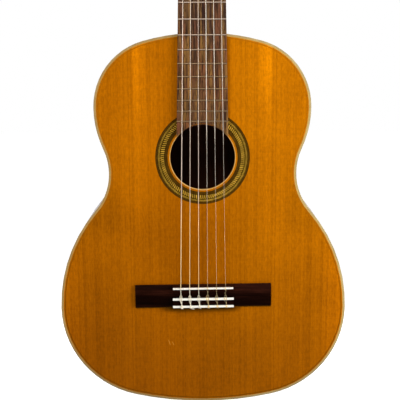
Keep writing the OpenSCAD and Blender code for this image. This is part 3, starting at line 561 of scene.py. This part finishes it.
# Ribs and back: thin plates of rosewood. The ribs are bent over a hot iron with the grain along
# their length and meet at the tail in a strip of binding wood. The domed back has two bookmatched
# halves with a pale strip let in between them, and all of it is French polished.
rosewood = ((0.190, 0.070, 0.030, 1.0), (0.095, 0.032, 0.015, 1.0), (0.024, 0.009, 0.006, 1.0))
raw_tones = (darker(rosewood[1], 0.8), darker(rosewood[1], 0.5), rosewood[2])
polish_tint = (1.0, 0.80, 0.66, 1.0)
strip_colours = ((0.560, 0.350, 0.140, 1.0), (0.380, 0.210, 0.075, 1.0))
arch_centre = Vector((0.0, -4.407, -0.659))


def figured_wood(name, squeeze, tones, lines, gloss, mirrored=False, shine=0.24, tint=polish_tint, stains_and_shades=()):
    """Open-pored hardwood with dark and pale lines, squeezed least along the grain."""
    pale, middle, dark = tones
    material, place = new_material(name)
    if mirrored:
        x, y, z = place.split()
        place = add(place.tree, "ShaderNodeCombineXYZ", {"X": abs(x), "Y": y, "Z": z})
    grain = place.squeezed(squeeze)
    broad = grain.clouds(lines, 5.0, 0.6)
    narrow = grain.clouds(lines * 6, 3.0, 0.2)
    pores = grain.clouds(lines * 22, 2.0)
    share = broad * 0.65 + narrow * 0.35
    colour = share.spread(0.34, 0.52).between(dark, middle)
    colour = share.spread(0.50, 0.66).between(colour, pale)
    pore_share = pores.spread(0.58, 0.74, 0.0, 0.55)
    colour = with_stains_and_shades(pore_share.between(colour, dark), place, stains_and_shades)
    return surface(material, colour, pores.spread(0.3, 0.8, gloss, gloss + 0.14), 1.0 - pore_share, 0.00003,
                   Specular_IOR_Level=shine, Specular_Tint=tint)


def line_inside(piece, material, looks_in):
    """Leaves the faces that look into the body as raw wood."""
    piece.data.materials.append(material)
    for polygon in piece.data.polygons:
        polygon.material_index = 1 if looks_in(polygon) else 0


def arch_smoothly(piece):
    """Shades the flat facets of the back as the sphere that it is arched to."""
    normals = []
    for polygon in piece.data.polygons:
        for corner in polygon.vertices:
            outward = (piece.data.vertices[corner].co - arch_centre).normalized()
            if abs(polygon.normal.y) < 0.5:
                normals.append(polygon.normal.copy())
            else:
                normals.append(outward if polygon.normal.y > 0 else -outward)
    piece.data.normals_split_custom_set(normals)


rib_wood = figured_wood("rib_rosewood", (0.04, 1.0, 0.04), rosewood, 60.0, 0.18)
back_wood = figured_wood("back_rosewood", (1.0, 1.0, 0.04), rosewood, 45.0, 0.18, mirrored=True)
pale_strip = mottled_finish("pale_strip", *strip_colours, 110.0, 0.22, 0.32, Specular_IOR_Level=0.3)
raw_rosewood = figured_wood("raw_rosewood", (1.0, 1.0, 0.04), raw_tones, 45.0, 0.60, shine=0.05)
line_inside(smooth_copy("rib_bass", "bass_rib", rib_wood), raw_rosewood, looks_into_body)
line_inside(smooth_copy("rib_treble", "treble_rib", rib_wood), raw_rosewood, looks_into_body)
smooth_copy("tail_graft", "tail_strip", brown_binding)
arched_back = smooth_copy("back", "domed_back", back_wood)
line_inside(arched_back, raw_rosewood, lambda polygon: polygon.normal.y < -0.5)
arch_smoothly(arched_back)
arch_smoothly(smooth_copy("back_strip", "back_middle_strip", pale_strip))


# Inside the body: cedar linings along the ribs, a neck block with its foot and a tail block carry
# the joints, and spruce bars and fan braces glued across the grain stiffen the plates. All raw wood.
cedar_tones = ((0.420, 0.250, 0.110, 1.0), (0.330, 0.180, 0.075, 1.0), (0.190, 0.095, 0.038, 1.0))
brace_tones = ((0.640, 0.440, 0.210, 1.0), (0.560, 0.370, 0.170, 1.0), (0.400, 0.240, 0.100, 1.0))
cedar = figured_wood("raw_cedar", (1.0, 1.0, 0.08), cedar_tones, 70.0, 0.62)
brace_spruce = figured_wood("raw_brace_spruce", (0.08, 1.0, 1.0), brace_tones, 120.0, 0.66)
for inside_node in ("top_lining", "back_lining", "neck_block", "tail_block"):
    dress(inside_node, cedar)
for inside_node in ("fan_braces", "harmonic_bars", "back_bars"):
    dress(inside_node, brace_spruce)


# Neck and head: one length of mahogany with the head spliced on and the heel built up in layers,
# carved by hand and French polished. A rosewood veneer faces the head and a cap closes the heel.
# Neck and strings are sized in the drawing's millimetres from the neck joint, and edges in metres.
mahogany_tones = ((0.330, 0.130, 0.048, 1.0), (0.215, 0.076, 0.027, 1.0), (0.095, 0.031, 0.012, 1.0))
veneer_tones = (darker(rosewood[0], 0.6), darker(rosewood[1], 0.6), rosewood[2])
head_edge = 0.0006
hang_height, hang_depth = 339.0, 9.0
nut_line, nut_width, board_width_at_body = 325.0, 50.0, 61.5
head_foot, head_joint, head_width, head_depth, head_tilt = 331.0, 12.0, 73.0, 20.0, math.radians(12.0)
shoulder_below, shoulder_length, tilt_eased_over = 4.0, 30.0, 3.0
shaft_top, shaft_depth_at_nut, shaft_depth_at_heel, shaft_squareness = 319.0, 15.5, 18.0, 0.2
heel_start, heel_tip, heel_slope, body_end = 62.0, 16.0, 0.9, 0.5
heel_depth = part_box("neck")[1].y * 1000 + hang_depth
neck_roundness, ridge_half, side_points = 2.2, 0.8, 20
head_steps, shaft_steps, sweep_steps, foot_steps = 16, 12, 28, 16
arris_from, arris_to, arris_margin, heel_scrapes = 3.0, 40.0, 0.6, 14
neck_sharp = math.radians(40.0)


def bench(x, y, z):
    """A point of the drawing in the guitar's own frame."""
    return Vector((x, -(z + hang_depth), y - hang_height)) / 1000


def eased_step(share):
    share = min(max(share, 0.0), 1.0)
    return share * share * (3 - 2 * share)


def neck_depth(y):
    """How deep the neck is below the fingerboard, with the heel's sweep down to its cap."""
    if y > heel_start:
        thinner = (shaft_depth_at_heel - shaft_depth_at_nut) * (y - heel_start) / (nut_line - heel_start)
        return shaft_depth_at_heel - thinner
    if y > heel_tip:
        share = (heel_start - y) / (heel_start - heel_tip)
        return shaft_depth_at_heel + (heel_depth - shaft_depth_at_heel) * (1 - math.sqrt(1 - share ** 2))
    return heel_depth + heel_slope * (heel_tip - y)


def neck_section(half, depth, squareness, y, rise, tilt):
    """A cross-section from edge to edge of the fingerboard, round below or squared for the head."""
    power = 2 / neck_roundness
    last = math.asin(min(1.0, heel_depth / depth) ** (1 / power))
    side = []
    for step in range(side_points + 1):
        share = step / side_points
        turn, corner = last * share, math.pi / 2 * share
        x = max(ridge_half, half * max(math.cos(turn), 0.0) ** power)
        z = -depth * math.sin(turn) ** power
        square_x = half if share <= 0.5 else max(ridge_half, half / math.tan(corner))
        square_z = -depth * math.tan(corner) if share <= 0.5 else -depth
        side.append((x + (square_x - x) * squareness, z + (square_z - z) * squareness))
    outline = side + [(-x, z) for x, z in reversed(side)]
    return [bench(x, y + rise * math.cos(head_tilt) + z * math.sin(tilt),
                  -rise * math.sin(head_tilt) + z * math.cos(tilt)) for x, z in outline]


def head_section(rise):
    """A section of the joint between neck and head, which turns from round to square."""
    share = eased_step(rise / head_joint)
    widened = eased_step((rise + shoulder_below) / shoulder_length)
    half = (nut_width + (head_width - nut_width) * widened) / 2
    depth = shaft_depth_at_nut + (head_depth - shaft_depth_at_nut) * share
    squareness = shaft_squareness + (1 - shaft_squareness) * share
    tilt = head_tilt * min(1.0, (1 + rise / tilt_eased_over) / 2)
    return neck_section(half, depth, squareness, head_foot, rise, tilt)


def shaft_section(y):
    half = (board_width_at_body - (board_width_at_body - nut_width) * y / nut_line) / 2
    return neck_section(half, neck_depth(y), 0.0, y, 0.0, 0.0)


def carved_neck(material):
    """A skin over the cross-sections, from head to ribs, with the heel's arris scraped round."""
    sections = [head_section(head_joint * step / head_steps) for step in range(head_steps, -1, -1)]
    heights = [shaft_top + (heel_start - shaft_top) * step / shaft_steps for step in range(shaft_steps)]
    sweep = [math.radians(90.0 * step / sweep_steps) for step in range(sweep_steps)]
    heights += [heel_start - (heel_start - heel_tip) * math.sin(turn) for turn in sweep]
    heights += [heel_tip + (body_end - heel_tip) * step / foot_steps for step in range(foot_steps + 1)]
    sections += [shaft_section(height) for height in heights]
    shape = bmesh.new()
    rings = [[shape.verts.new(point) for point in section] for section in sections]
    for ring, after in zip(rings, rings[1:]):
        for at in range(len(ring)):
            shape.faces.new((ring[at - 1], ring[at], after[at], after[at - 1]))
    shape.faces.new(rings[0])
    shape.faces.new(rings[-1])
    low, high = bench(0.0, arris_from, -arris_margin), bench(0.0, arris_to, arris_margin - heel_depth)
    arris = [vert for vert in shape.verts if low.z < vert.co.z < high.z and low.y < vert.co.y < high.y]
    for _ in range(heel_scrapes):
        bmesh.ops.smooth_vert(shape, verts=arris, factor=0.5, use_axis_x=True, use_axis_y=True,
                              use_axis_z=True)
    bmesh.ops.recalc_face_normals(shape, faces=shape.faces)
    mesh = plain_mesh(shape, "carved_neck", material)
    mesh.shade_smooth()
    mesh.set_sharp_from_angle(angle=neck_sharp)
    return mesh


mahogany = figured_wood("neck_mahogany", (1.0, 1.0, 0.05), mahogany_tones, 55.0, 0.24, shine=0.14)
veneer_wood = figured_wood("head_rosewood", (1.0, 1.0, 0.05), veneer_tones, 70.0, 0.20, mirrored=True,
                           shine=0.12)
new_piece("carved_neck", carved_neck(mahogany), "guitar", "mahogany", "neck")
smooth_copy("headstock", "slotted_head", mahogany, edge=head_edge)
smooth_copy("head_veneer", "head_face", veneer_wood, edge=head_edge)
smooth_copy("heel_cap", "heel_end_cap", veneer_wood)


# Fingerboard and frets: a slip of brown rosewood, oiled and worn paler between the frets, glued
# over neck and soundboard and cut to the hole's circle. Nineteen nickel-silver frets are hammered
# into sawn slots and their ends filed flush. The nut at its upper end is a shaped slip of bone.
board_gold, board_red = (0.275, 0.135, 0.033, 1.0), (0.212, 0.068, 0.029, 1.0)
board_mid, board_dark = (0.138, 0.061, 0.025, 1.0), (0.026, 0.012, 0.008, 1.0)
board_tint = (1.0, 0.62, 0.42, 1.0)
board_less_worn = [((0.76, 0.80, 1.0, 1.0), "MULTIPLY", "Z", -0.355, -0.325)]
board_edge, board_half_width = 0.0003, 0.031
board_end_starts, board_end_cut, board_end_curve = -0.4490, 0.0016, 0.8
crown_played, crown_unplayed = (0.345, 0.260, 0.198, 1.0), (0.185, 0.115, 0.056, 1.0)
# Painted reflection: the frets' flanks are painted dark, and only a painted highlight along the crown keeps
# the crown's colour.
fret_flank_painted_dark = (0.085, 0.055, 0.034, 1.0)
played_from, crown_foot, crown_highlight_depth = (-0.385, -0.325), 0.00022, 0.00012
crown_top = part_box("frets")[0].y
bone_colours = ((0.980, 0.955, 0.880, 1.0), (0.920, 0.875, 0.750, 1.0))


def streaked_board():
    """Rosewood with dark lines and with golden and red streaks, all along the board."""
    material, place = new_material("board_rosewood")
    grain, apart = place.squeezed((1.0, 1.0, 0.045)), place.squeezed((1.0, 1.0, 0.11))
    gold = grain.clouds(210.0, 2.0, 0.3)
    red = apart.clouds(240.0, 2.0, 0.3)
    lines = grain.clouds(480.0, 3.0, 0.4)
    pores = apart.clouds(1300.0, 2.0)
    colour = gold.spread(0.43, 0.63).between(board_mid, board_gold)
    colour = red.spread(0.50, 0.67, 0.0, 0.7).between(colour, board_red)
    colour = lines.spread(0.36, 0.56, 0.95, 0.0).between(colour, board_dark)
    pore_share = pores.spread(0.52, 0.68, 0.0, 0.75)
    colour = with_stains_and_shades(pore_share.between(colour, board_dark), place, board_less_worn)
    return surface(material, colour, pores.spread(0.3, 0.8, 0.44, 0.60), 1.0 - pore_share, 0.00003,
                   Specular_IOR_Level=0.14, Specular_Tint=board_tint)


def fret_metal():
    """Nickel silver, rubbed bright where strings are pressed, with its flanks painted dark as a painted
    reflection and a painted highlight along its crown.
    """
    material, place = new_material("nickel_silver")
    _, depth, height = place.split()
    rubs = place.clouds(420.0, 3.0, 0.4)
    crown = height.spread(*played_from).between(crown_unplayed, crown_played)
    top = depth.spread(crown_top + crown_foot, crown_top + crown_highlight_depth)
    colour = (top * rubs.spread(0.2, 0.6, 0.7, 1.0)).between(fret_flank_painted_dark, crown)
    return surface(material, colour, rubs.spread(0.3, 0.7, 0.26, 0.40), rubs, 0.000004, Metallic=1.0)


bone = mottled_finish("bone", *bone_colours, 160.0, 0.22, 0.34, Specular_IOR_Level=0.5)
board = smooth_copy("fingerboard", "oiled_fingerboard", streaked_board(), edge=board_edge)
for vert in board.data.vertices:
    if vert.co.z < board_end_starts:
        vert.co.z += board_end_cut * (1 - board_end_curve * (vert.co.x / board_half_width) ** 2)
dress("frets", fret_metal())
smooth_copy("nut", "bone_nut", bone)


# Bridge: dark rosewood with thin arched wings and a tie block, glued on the soundboard and painted
# paler in front as painted light. A bone saddle stands in its slot, with painted shade on its foot,
# and two bone strips cap the edges of the tie block.
bridge_tones = ((0.0135, 0.0034, 0.0018, 1.0), (0.0045, 0.0011, 0.0006, 1.0), (0.0018, 0.0006, 0.0004, 1.0))
bridge_tint = (1.0, 0.45, 0.30, 1.0)
# Painted light makes the front of the bridge paler.
bridge_front_painted_light = [((5.0, 5.0, 5.0, 1.0), "MULTIPLY", "Z", -0.678, -0.664)]
# Painted shade darkens the foot of the saddle.
saddle_foot_painted_shade = [((0.120, 0.060, 0.028, 1.0), "MIX", "Y", -0.0210, -0.0178)]
bridge_edge, cap_edge = 0.0005, 0.0003
bridge_wood = figured_wood("bridge_rosewood", (0.05, 1.0, 1.0), bridge_tones, 110.0, 0.34, shine=0.02,
                           tint=bridge_tint, stains_and_shades=bridge_front_painted_light)
saddle_bone = mottled_finish("saddle_bone", *bone_colours, 160.0, 0.22, 0.34, saddle_foot_painted_shade,
                             Specular_IOR_Level=0.5)
smooth_copy("bridge", "tie_bridge", bridge_wood, edge=bridge_edge)
smooth_copy("saddle", "bone_saddle", saddle_bone)
smooth_copy("tie_block_caps", "tie_block_strips", bone, edge=cap_edge)


# Tuning machines: two brass plates screwed to the sides of the head. Each worm has a pearl plastic
# button and turns a brass gear, which a slotted screw holds on the spindle of its plastic roller.
brass_colours = ((0.720, 0.540, 0.220, 1.0), (0.520, 0.360, 0.120, 1.0))
steel_colours = ((0.640, 0.620, 0.580, 1.0), (0.480, 0.460, 0.420, 1.0))
pearl_colours = ((0.740, 0.680, 0.540, 1.0), (0.540, 0.460, 0.330, 1.0))
roller_colours = ((0.850, 0.800, 0.680, 1.0), (0.760, 0.700, 0.570, 1.0))
screw_radius, screw_rise = 0.0026, 0.0013
gear_screw_radius, gear_screw_rise = 0.0030, 0.0014
slot_width, slot_length = 0.30, 3.0
screw_seed = 7
button_edge = 0.0007
strings, trebles = 6, 3


def bright_metal(name, pale, dark, scale, roughness_low, roughness_high):
    """Polished metal with fine handling marks."""
    material, place = new_material(name)
    tarnish = place.clouds(scale, 4.0, 0.8)
    rubs = place.squeezed((40.0, 900.0, 900.0)).clouds(1.0, 2.0)
    colour = tarnish.spread(0.35, 0.65).between(dark, pale)
    roughness = rubs.spread(0.3, 0.7, roughness_low, roughness_high)
    return surface(material, colour, roughness, rubs, 0.000004, Metallic=1.0)


def slotted_screw_tree():
    """Domed screw heads with a sawn slot, one on each point, their slots turned at random."""
    tree, given = new_tree("slotted_screws", [
        ("Geometry", "Geometry"), ("Radius", "Float"), ("Rise", "Float"), ("Axis turn", "Vector"),
        ("Seed", "Int"), ("Material", "Material")])
    radius, rise = given["Radius"], given["Rise"]
    ball = add(tree, "GeometryNodeMeshUVSphere", {"Segments": 24, "Rings": 12, "Radius": 1.0}, "Mesh")
    size = add(tree, "ShaderNodeCombineXYZ", {"X": radius, "Y": radius, "Z": rise})
    dome = add(tree, "GeometryNodeTransform", {"Geometry": ball, "Scale": size})
    saw_sides = {"X": radius * slot_length, "Y": radius * slot_width, "Z": rise}
    saw_size = add(tree, "ShaderNodeCombineXYZ", saw_sides)
    saw = add(tree, "GeometryNodeMeshCube", {"Size": saw_size}, "Mesh")
    lift = add(tree, "ShaderNodeCombineXYZ", {"Z": rise})
    blade = add(tree, "GeometryNodeTransform", {"Geometry": saw, "Translation": lift})
    cut = add(tree, "GeometryNodeMeshBoolean", {"Mesh 1": dome, "Mesh 2": blade}, "Mesh",
              operation="DIFFERENCE", solver="EXACT")
    inputs = {"Points": given["Geometry"], "Instance": cut, "Rotation": given["Axis turn"]}
    heads = add(tree, "GeometryNodeInstanceOnPoints", inputs)
    least_angle, most_angle, random_angle = 2, 3, 1
    inputs = {least_angle: 0.0, most_angle: math.pi, "Seed": given["Seed"]}
    angle = add(tree, "FunctionNodeRandomValue", inputs, random_angle, data_type="FLOAT")
    spin = add(tree, "ShaderNodeCombineXYZ", {"Z": angle})
    turned = add(tree, "GeometryNodeRotateInstances", {"Instances": heads, "Rotation": spin})
    return end_tree(tree, turned, given["Material"])


def screw_head_places(side):
    """The middle of each plate screw's seat, found on the CAD screws of that side."""
    corners = [vert.co for vert in frame["nodes"]["plate_screws"].data.vertices if vert.co.x * side > 0]
    corners.sort(key=lambda corner: corner.z)
    screws = [[corners[0]]]
    for corner in corners[1:]:
        if corner.z - screws[-1][-1].z > screw_radius:
            screws.append([])
        screws[-1].append(corner)
    places = []
    for screw in screws:
        depths = [corner.y for corner in screw]
        places.append((side * (max(abs(corner.x) for corner in screw) - screw_rise),
                       (min(depths) + max(depths)) / 2, (screw[0].z + screw[-1].z) / 2))
    return places


def head_side(number):
    """Strings 1 to 3 are wound on the treble side of the head, and 4 to 6 on the bass side."""
    return 1 if number <= trebles else -1


brass = bright_metal("machine_brass", *brass_colours, 60.0, 0.20, 0.34)
steel = bright_metal("worm_steel", *steel_colours, 90.0, 0.22, 0.36)
pearl = mottled_finish("pearl_plastic", *pearl_colours, 210.0, 0.10, 0.18, Specular_IOR_Level=0.6)
roller_plastic = mottled_finish("roller_plastic", *roller_colours, 90.0, 0.24, 0.34, Specular_IOR_Level=0.5)
screws_tree = slotted_screw_tree()
for plate, side in (("plate_treble", 1), ("plate_bass", -1)):
    dress(plate, brass)
    heads_name = plate + "_screw_heads"
    heads = grow(screws_tree, {
        "Radius": screw_radius, "Rise": screw_rise, "Axis turn": (0.0, side * math.pi / 2, 0.0),
        "Seed": screw_seed + side, "Material": brass,
    }, heads_name, screw_head_places(side))
    new_piece(heads_name, heads, "guitar", "machine_brass", *(["plate_screws"] if side > 0 else []))
for number in range(1, strings + 1):
    smooth_copy(f"worm_{number}", f"worm_{number}_turned", steel, f"peg_{number}")
    smooth_copy(f"button_{number}", f"button_{number}_moulded", pearl, f"peg_{number}", edge=button_edge)
    dress(f"gear_{number}", brass)
    dress(f"roller_{number}", roller_plastic)
    side = head_side(number)
    gear_low, gear_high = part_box(f"gear_{number}")
    gear_middle = (gear_low + gear_high) / 2
    gear_end = (gear_high.x if side > 0 else gear_low.x, gear_middle.y, gear_middle.z)
    screw_name = f"gear_{number}_screw"
    screw = grow(screws_tree, {
        "Radius": gear_screw_radius, "Rise": gear_screw_rise, "Axis turn": (0.0, side * math.pi / 2, 0.0),
        "Seed": screw_seed + 10 * number, "Material": steel,
    }, screw_name, [gear_end])
    new_piece(screw_name, screw, f"spindle_{number}", "machine_brass")


# Strings: three plain nylon trebles and three basses of nylon floss wound with silvered wire. Each
# is wound on its roller, bends over nut and saddle and goes through the tie block, where it is tied
# by hand: back over the block, round its own standing part and under itself to the rear edge.
# The nylon above the hole is scuffed pale and also painted paler, a painted highlight.
nylon_clear, nylon_scuffed_and_highlit = (0.940, 0.770, 0.480, 1.0), (0.960, 0.890, 0.790, 1.0)
nylon_pales, nylon_dulls, clear_share, scuffed_share = (-0.56, -0.52), (-0.49, -0.44), 0.85, 0.50
# Painted reflection: the wire is painted amber over the top and darker over board and hole, where fingers
# also dull it, and a painted highlight pales the knots.
wire_worn_and_painted_dark, wire_painted_amber_reflection = (0.560, 0.450, 0.360, 1.0), (0.980, 0.720, 0.330, 1.0)
wire_painted_highlight = (0.930, 0.850, 0.660, 1.0)
amber_reflection_below, knot_highlight_below, wire_pitch = (-0.58, -0.53, 1.0, 0.0), (-0.668, -0.660, 1.0, 0.0), 0.00022
string_diameters, string_sides = [0.71, 0.82, 1.02, 0.75, 0.91, 1.09], 12
nut_spread, nut_middle, nut_floor = 39.0, 328.0, 7.5
saddle_spread, saddle_place, saddle_top, bridge_turn = 58.5, 326.5, 12.3, math.radians(0.6)
tie_hole, tie_hole_front, tie_wood, tie_cap, string_gap = 6.0, -12.9, 8.6, 9.2, 0.05
winding_starts, winding_turns, winding_steps = [19.0, 16.5, 14.5], 2.2, 60
winding_gap, winding_spacing = 0.25, 0.15
long_tail, knot_steps = 5, 8


def at_bridge(x, y, z):
    """A point of the drawing measured from the saddle, along the slanting bridge."""
    return bench(x * math.cos(bridge_turn) - y * math.sin(bridge_turn),
                 x * math.sin(bridge_turn) + y * math.cos(bridge_turn) - saddle_place, z)


def eased(points, steps):
    """A smooth curve through every point."""
    curve = []
    for at in range(len(points) - 1):
        before, here = points[max(at - 1, 0)], points[at]
        there, after = points[at + 1], points[min(at + 2, len(points) - 1)]
        for step in range(steps):
            t = step / steps
            bend = (2 * before - 5 * here + 4 * there - after) * t ** 2
            twist = (3 * here - before - 3 * there + after) * t ** 3
            curve.append(0.5 * (2 * here + (there - before) * t + bend + twist))
    return curve + [points[-1]]


def tie_knot(number, x, r):
    """The tied end, from the front of the tie block through it and over it to the loose tail."""
    over = tie_cap + r + string_gap

    def standing(y):
        return saddle_top + r + (tie_hole - saddle_top - r) * y / tie_hole_front

    route = [(0.0, tie_hole_front, tie_hole), (0.0, -20.0, tie_hole), (0.0, -26.3, tie_hole),
             (0.05, -27.1 - r, 6.5), (0.15, -27.2 - r, 8.0), (0.30, -26.6, over), (0.45, -24.8, over + 0.05),
             (0.80, -21.2, tie_wood + 3 * r + 0.35), (1.15, -16.4, over), (1.30, -13.6, over),
             (1.05 + r / 2, -12.2, 8.7), (0.75 + r, -11.2, standing(-11.2)),
             (0.0, -10.3, standing(-10.3) - 2 * r - 0.1),
             (-0.75 - r, -11.2, standing(-11.2)), (-1.05 - r / 2, -12.2, 8.7),
             (-1.25, -13.6, over), (-1.0, -16.4, over), (0.1, -20.0, tie_wood + r + 0.05),
             (1.1, -22.3, tie_wood + r + 0.1), (1.75, -24.8, over), (2.0, -26.8, over - 0.1)]
    if number == long_tail:
        route += [(3.2, -27.7, over - 0.5), (5.6, -28.0, over - 1.1)]
    else:
        route += [(2.3, -27.6, over - 0.4)]
    return eased([at_bridge(x + side, y, z) for side, y, z in route], knot_steps)


def roller_winding(number, r, nut):
    """The turns on the roller, from the end tucked into it to where the string leaves for the nut."""
    low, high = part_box(f"roller_{number}")
    rank = number - 1 if number <= trebles else strings - number
    axis = Vector((low.z + high.z, -low.y - high.y)) / 2
    reach = (high.z - low.z) / 2 + (winding_gap + r) / 1000
    away = Vector((nut.z, -nut.y)) - axis
    touch = math.atan2(away.y, away.x) - math.acos(reach / away.length)
    route = []
    for step in range(winding_steps, -1, -1):
        turns = winding_turns * step / winding_steps
        angle = touch - 2 * math.pi * turns
        x = head_side(number) * (winding_starts[rank] + turns * (2 * r + winding_spacing)) / 1000
        route.append(Vector((x, -axis.y - reach * math.sin(angle), axis.x + reach * math.cos(angle))))
    tucked = Vector((route[0].x, -axis.y, axis.x)).lerp(route[0], 0.5)
    return [tucked] + route


def tube(name, route, radius, material):
    """A round cord along a route; its UV runs round it and, in metres, along it."""
    points, lengths, across, length = [], [], Vector((0.0, 1.0, 0.0)), 0.0
    for at, middle in enumerate(route):
        along = (route[min(at + 1, len(route) - 1)] - route[max(at - 1, 0)]).normalized()
        across = (across - along * across.dot(along)).normalized()
        up = along.cross(across)
        length += (middle - route[at - 1]).length if at else 0.0
        lengths.append(length)
        for step in range(string_sides):
            turn = 2 * math.pi * step / string_sides
            points.append(middle + radius * (across * math.cos(turn) + up * math.sin(turn)))
    faces, corners = [], []
    for at in range(len(route) - 1):
        for step in range(string_sides):
            here, after = at * string_sides + step, at * string_sides + (step + 1) % string_sides
            faces.append((here, after, after + string_sides, here + string_sides))
            share, next_share = step / string_sides, (step + 1) / string_sides
            corners += [(share, lengths[at]), (next_share, lengths[at]), (next_share, lengths[at + 1]),
                        (share, lengths[at + 1])]
    last = (len(route) - 1) * string_sides
    for end in (list(reversed(range(string_sides))), [last + step for step in range(string_sides)]):
        faces.append(tuple(end))
        corners += [(0.0, lengths[0])] * string_sides
    mesh = bpy.data.meshes.new(name)
    mesh.from_pydata(points, [], faces)
    layer = mesh.uv_layers.new(name="around_and_along")
    for loop, corner in zip(layer.data, corners):
        loop.uv = corner
    mesh.materials.append(material)
    mesh.shade_smooth()
    return mesh


def wound_wire():
    """Silvered bronze wire wound closely round a core, dulled by the fingers and painted darker over
    board and hole as a painted reflection, painted amber below them as a painted reflection of the
    top, and painted pale on the knots as a painted highlight.
    """
    material, place = new_material("wound_string")
    _, _, height = place.split()
    around, along, _ = add(place.tree, "ShaderNodeUVMap", uv_map="around_and_along").split()
    turns = along / wire_pitch + around
    ridge = turns.work_out("SINE", turns * (2 * math.pi))
    dull = along.streaks(60.0, 3.0)
    colour = height.spread(*amber_reflection_below).between(wire_worn_and_painted_dark, wire_painted_amber_reflection)
    colour = height.spread(*knot_highlight_below).between(colour, wire_painted_highlight)
    colour = dull.spread(0.30, 0.80, 0.0, 0.25).between(colour, wire_worn_and_painted_dark)
    return surface(material, colour, dull.spread(0.3, 0.7, 0.30, 0.44), ridge, 0.00004, Metallic=1.0)


def plain_nylon():
    """Clear amber nylon, scuffed pale by fingers and frets above the hole, and painted paler there as a
    painted highlight.
    """
    material, place = new_material("plain_nylon")
    _, _, height = place.split()
    mottle = place.clouds(200.0, 3.0)
    colour = height.spread(*nylon_pales).between(nylon_clear, nylon_scuffed_and_highlit)
    colour = mottle.spread(0.3, 0.7, 0.0, 0.2).between(colour, nylon_clear)
    see_through = height.spread(*nylon_dulls).spread(0.0, 1.0, clear_share, scuffed_share)
    return surface(material, colour, mottle.spread(0.3, 0.7, 0.16, 0.24), mottle, 0.00001, IOR=1.15,
                   Specular_IOR_Level=0.15, Transmission_Weight=see_through)


nylon, wound = plain_nylon(), wound_wire()
for number in range(1, strings + 1):
    r = string_diameters[number - 1] / 2
    from_middle = (strings + 1 - 2 * number) / 2 / (strings - 1)
    nut_bend = bench(nut_spread * from_middle, nut_middle, nut_floor + r)
    saddle_x = saddle_spread * from_middle
    saddle_bend = at_bridge(saddle_x, 0.0, saddle_top + r + string_gap)
    route = roller_winding(number, r, nut_bend) + [nut_bend, saddle_bend] + tie_knot(number, saddle_x, r)
    material, slot = (nylon, "plain_nylon") if number <= trebles else (wound, "wound_string")
    string_name = f"string_{number}_tied"
    new_piece(string_name, tube(string_name, route, r / 1000, material), "guitar", slot, f"string_{number}")


# Studio: a wide pale floor below the hanging guitar, which takes its shadow and glows only outside
# the lamps' pool, a white surround, and three soft lamps, two in front and one behind.
floor_below, floor_radius, floor_sides = 0.40, 8.0, 96
floor_greys, white = ((0.90, 0.90, 0.90, 1.0), (0.93, 0.93, 0.93, 1.0)), (1.0, 1.0, 1.0, 1.0)
lamp_pool_radius, dark_floor_radius = 0.70, 1.70
glow_in_pool, glow_outside, ambient_strength = 0.06, 0.80, 0.22
lamps_aim = Vector((0.0, face, -0.50))
lamps = [("right_softbox", (0.90, -0.53, -0.37), 0.6, 11.6), ("high_softbox", (-0.25, -0.90, 0.42), 0.7, 8.0),
         ("back_softbox", (0.5, 1.60, 0.10), 1.2, 26.0)]


def seen_share(tree):
    """One for what is seen directly, mirrored or through nylon, and nothing for light on the guitar."""
    rays = add(tree, "ShaderNodeLightPath").socket.node.outputs
    seen = [Value(tree, rays[f"Is {kind} Ray"]) for kind in ("Camera", "Glossy", "Transmission")]
    return seen[0].or_more(seen[1]).or_more(seen[2])


def pale_floor():
    """A matt floor that shows the lamps' light and shadow in their pool, and glows outside it."""
    material, place = new_material("pale_floor")
    cloud = place.clouds(3.0, 3.0)
    flat = place.squeezed((1.0, 1.0, 0.0))
    away = add(place.tree, "ShaderNodeVectorMath", {0: flat}, "Value", operation="LENGTH")
    glow = away.spread(lamp_pool_radius, dark_floor_radius, glow_in_pool, glow_outside)
    return surface(material, cloud.between(*floor_greys), cloud.spread(0.3, 0.7, 0.75, 0.85),
                   Emission_Color=white, Emission_Strength=seen_share(place.tree) * glow)


disc = bmesh.new()
bmesh.ops.create_circle(disc, cap_ends=True, segments=floor_sides, radius=floor_radius)
bmesh.ops.translate(disc, verts=disc.verts, vec=(0.0, 0.0, cad_box[0][2] - floor_below))
floor = bpy.data.objects.new("floor", plain_mesh(disc, "floor", pale_floor()))
bpy.context.scene.collection.objects.link(floor)

world = bpy.data.worlds.new("white_surround")
world.use_nodes = True
bpy.context.scene.world = world
sky = world.node_tree
strength = seen_share(sky).spread(0.0, 1.0, ambient_strength, 1.0)
feed(sky, sky.nodes["Background"], {"Color": white, "Strength": strength})

for lamp_name, lamp_place, lamp_size, lamp_power in lamps:
    lamp = bpy.data.lights.new(lamp_name, "AREA")
    lamp.shape = "SQUARE"
    lamp.size = lamp_size
    lamp.energy = lamp_power
    holder = bpy.data.objects.new(lamp_name, lamp)
    bpy.context.scene.collection.objects.link(holder)
    holder.location = lamp_place
    holder.rotation_euler = (lamps_aim - Vector(lamp_place)).to_track_quat("-Z", "Y").to_euler()


# Camera: a little above the body and looking slightly down, as in the photograph, whose frame is
# 400 pixels square. Its place was fitted to the frets, the saddle and the body's outline.
photo_size = 400
focal_length_in_pixels = 886.07
sensor_width = 36.0
camera_place = Vector((-0.00484, -1.14182, -0.35161))
camera_target = Vector((-0.00355, -0.00900, -0.54964))
camera_roll = -0.00455
camera = bpy.data.objects.new("camera", bpy.data.cameras.new("camera"))
bpy.context.scene.collection.objects.link(camera)
camera.data.sensor_width = sensor_width
camera.data.lens = focal_length_in_pixels * sensor_width / photo_size
camera.location = camera_place
view_turn = (camera_target - camera_place).to_track_quat("-Z", "Y") @ Quaternion((0.0, 0.0, 1.0), camera_roll)
camera.rotation_euler = view_turn.to_euler()
bpy.context.scene.camera = camera
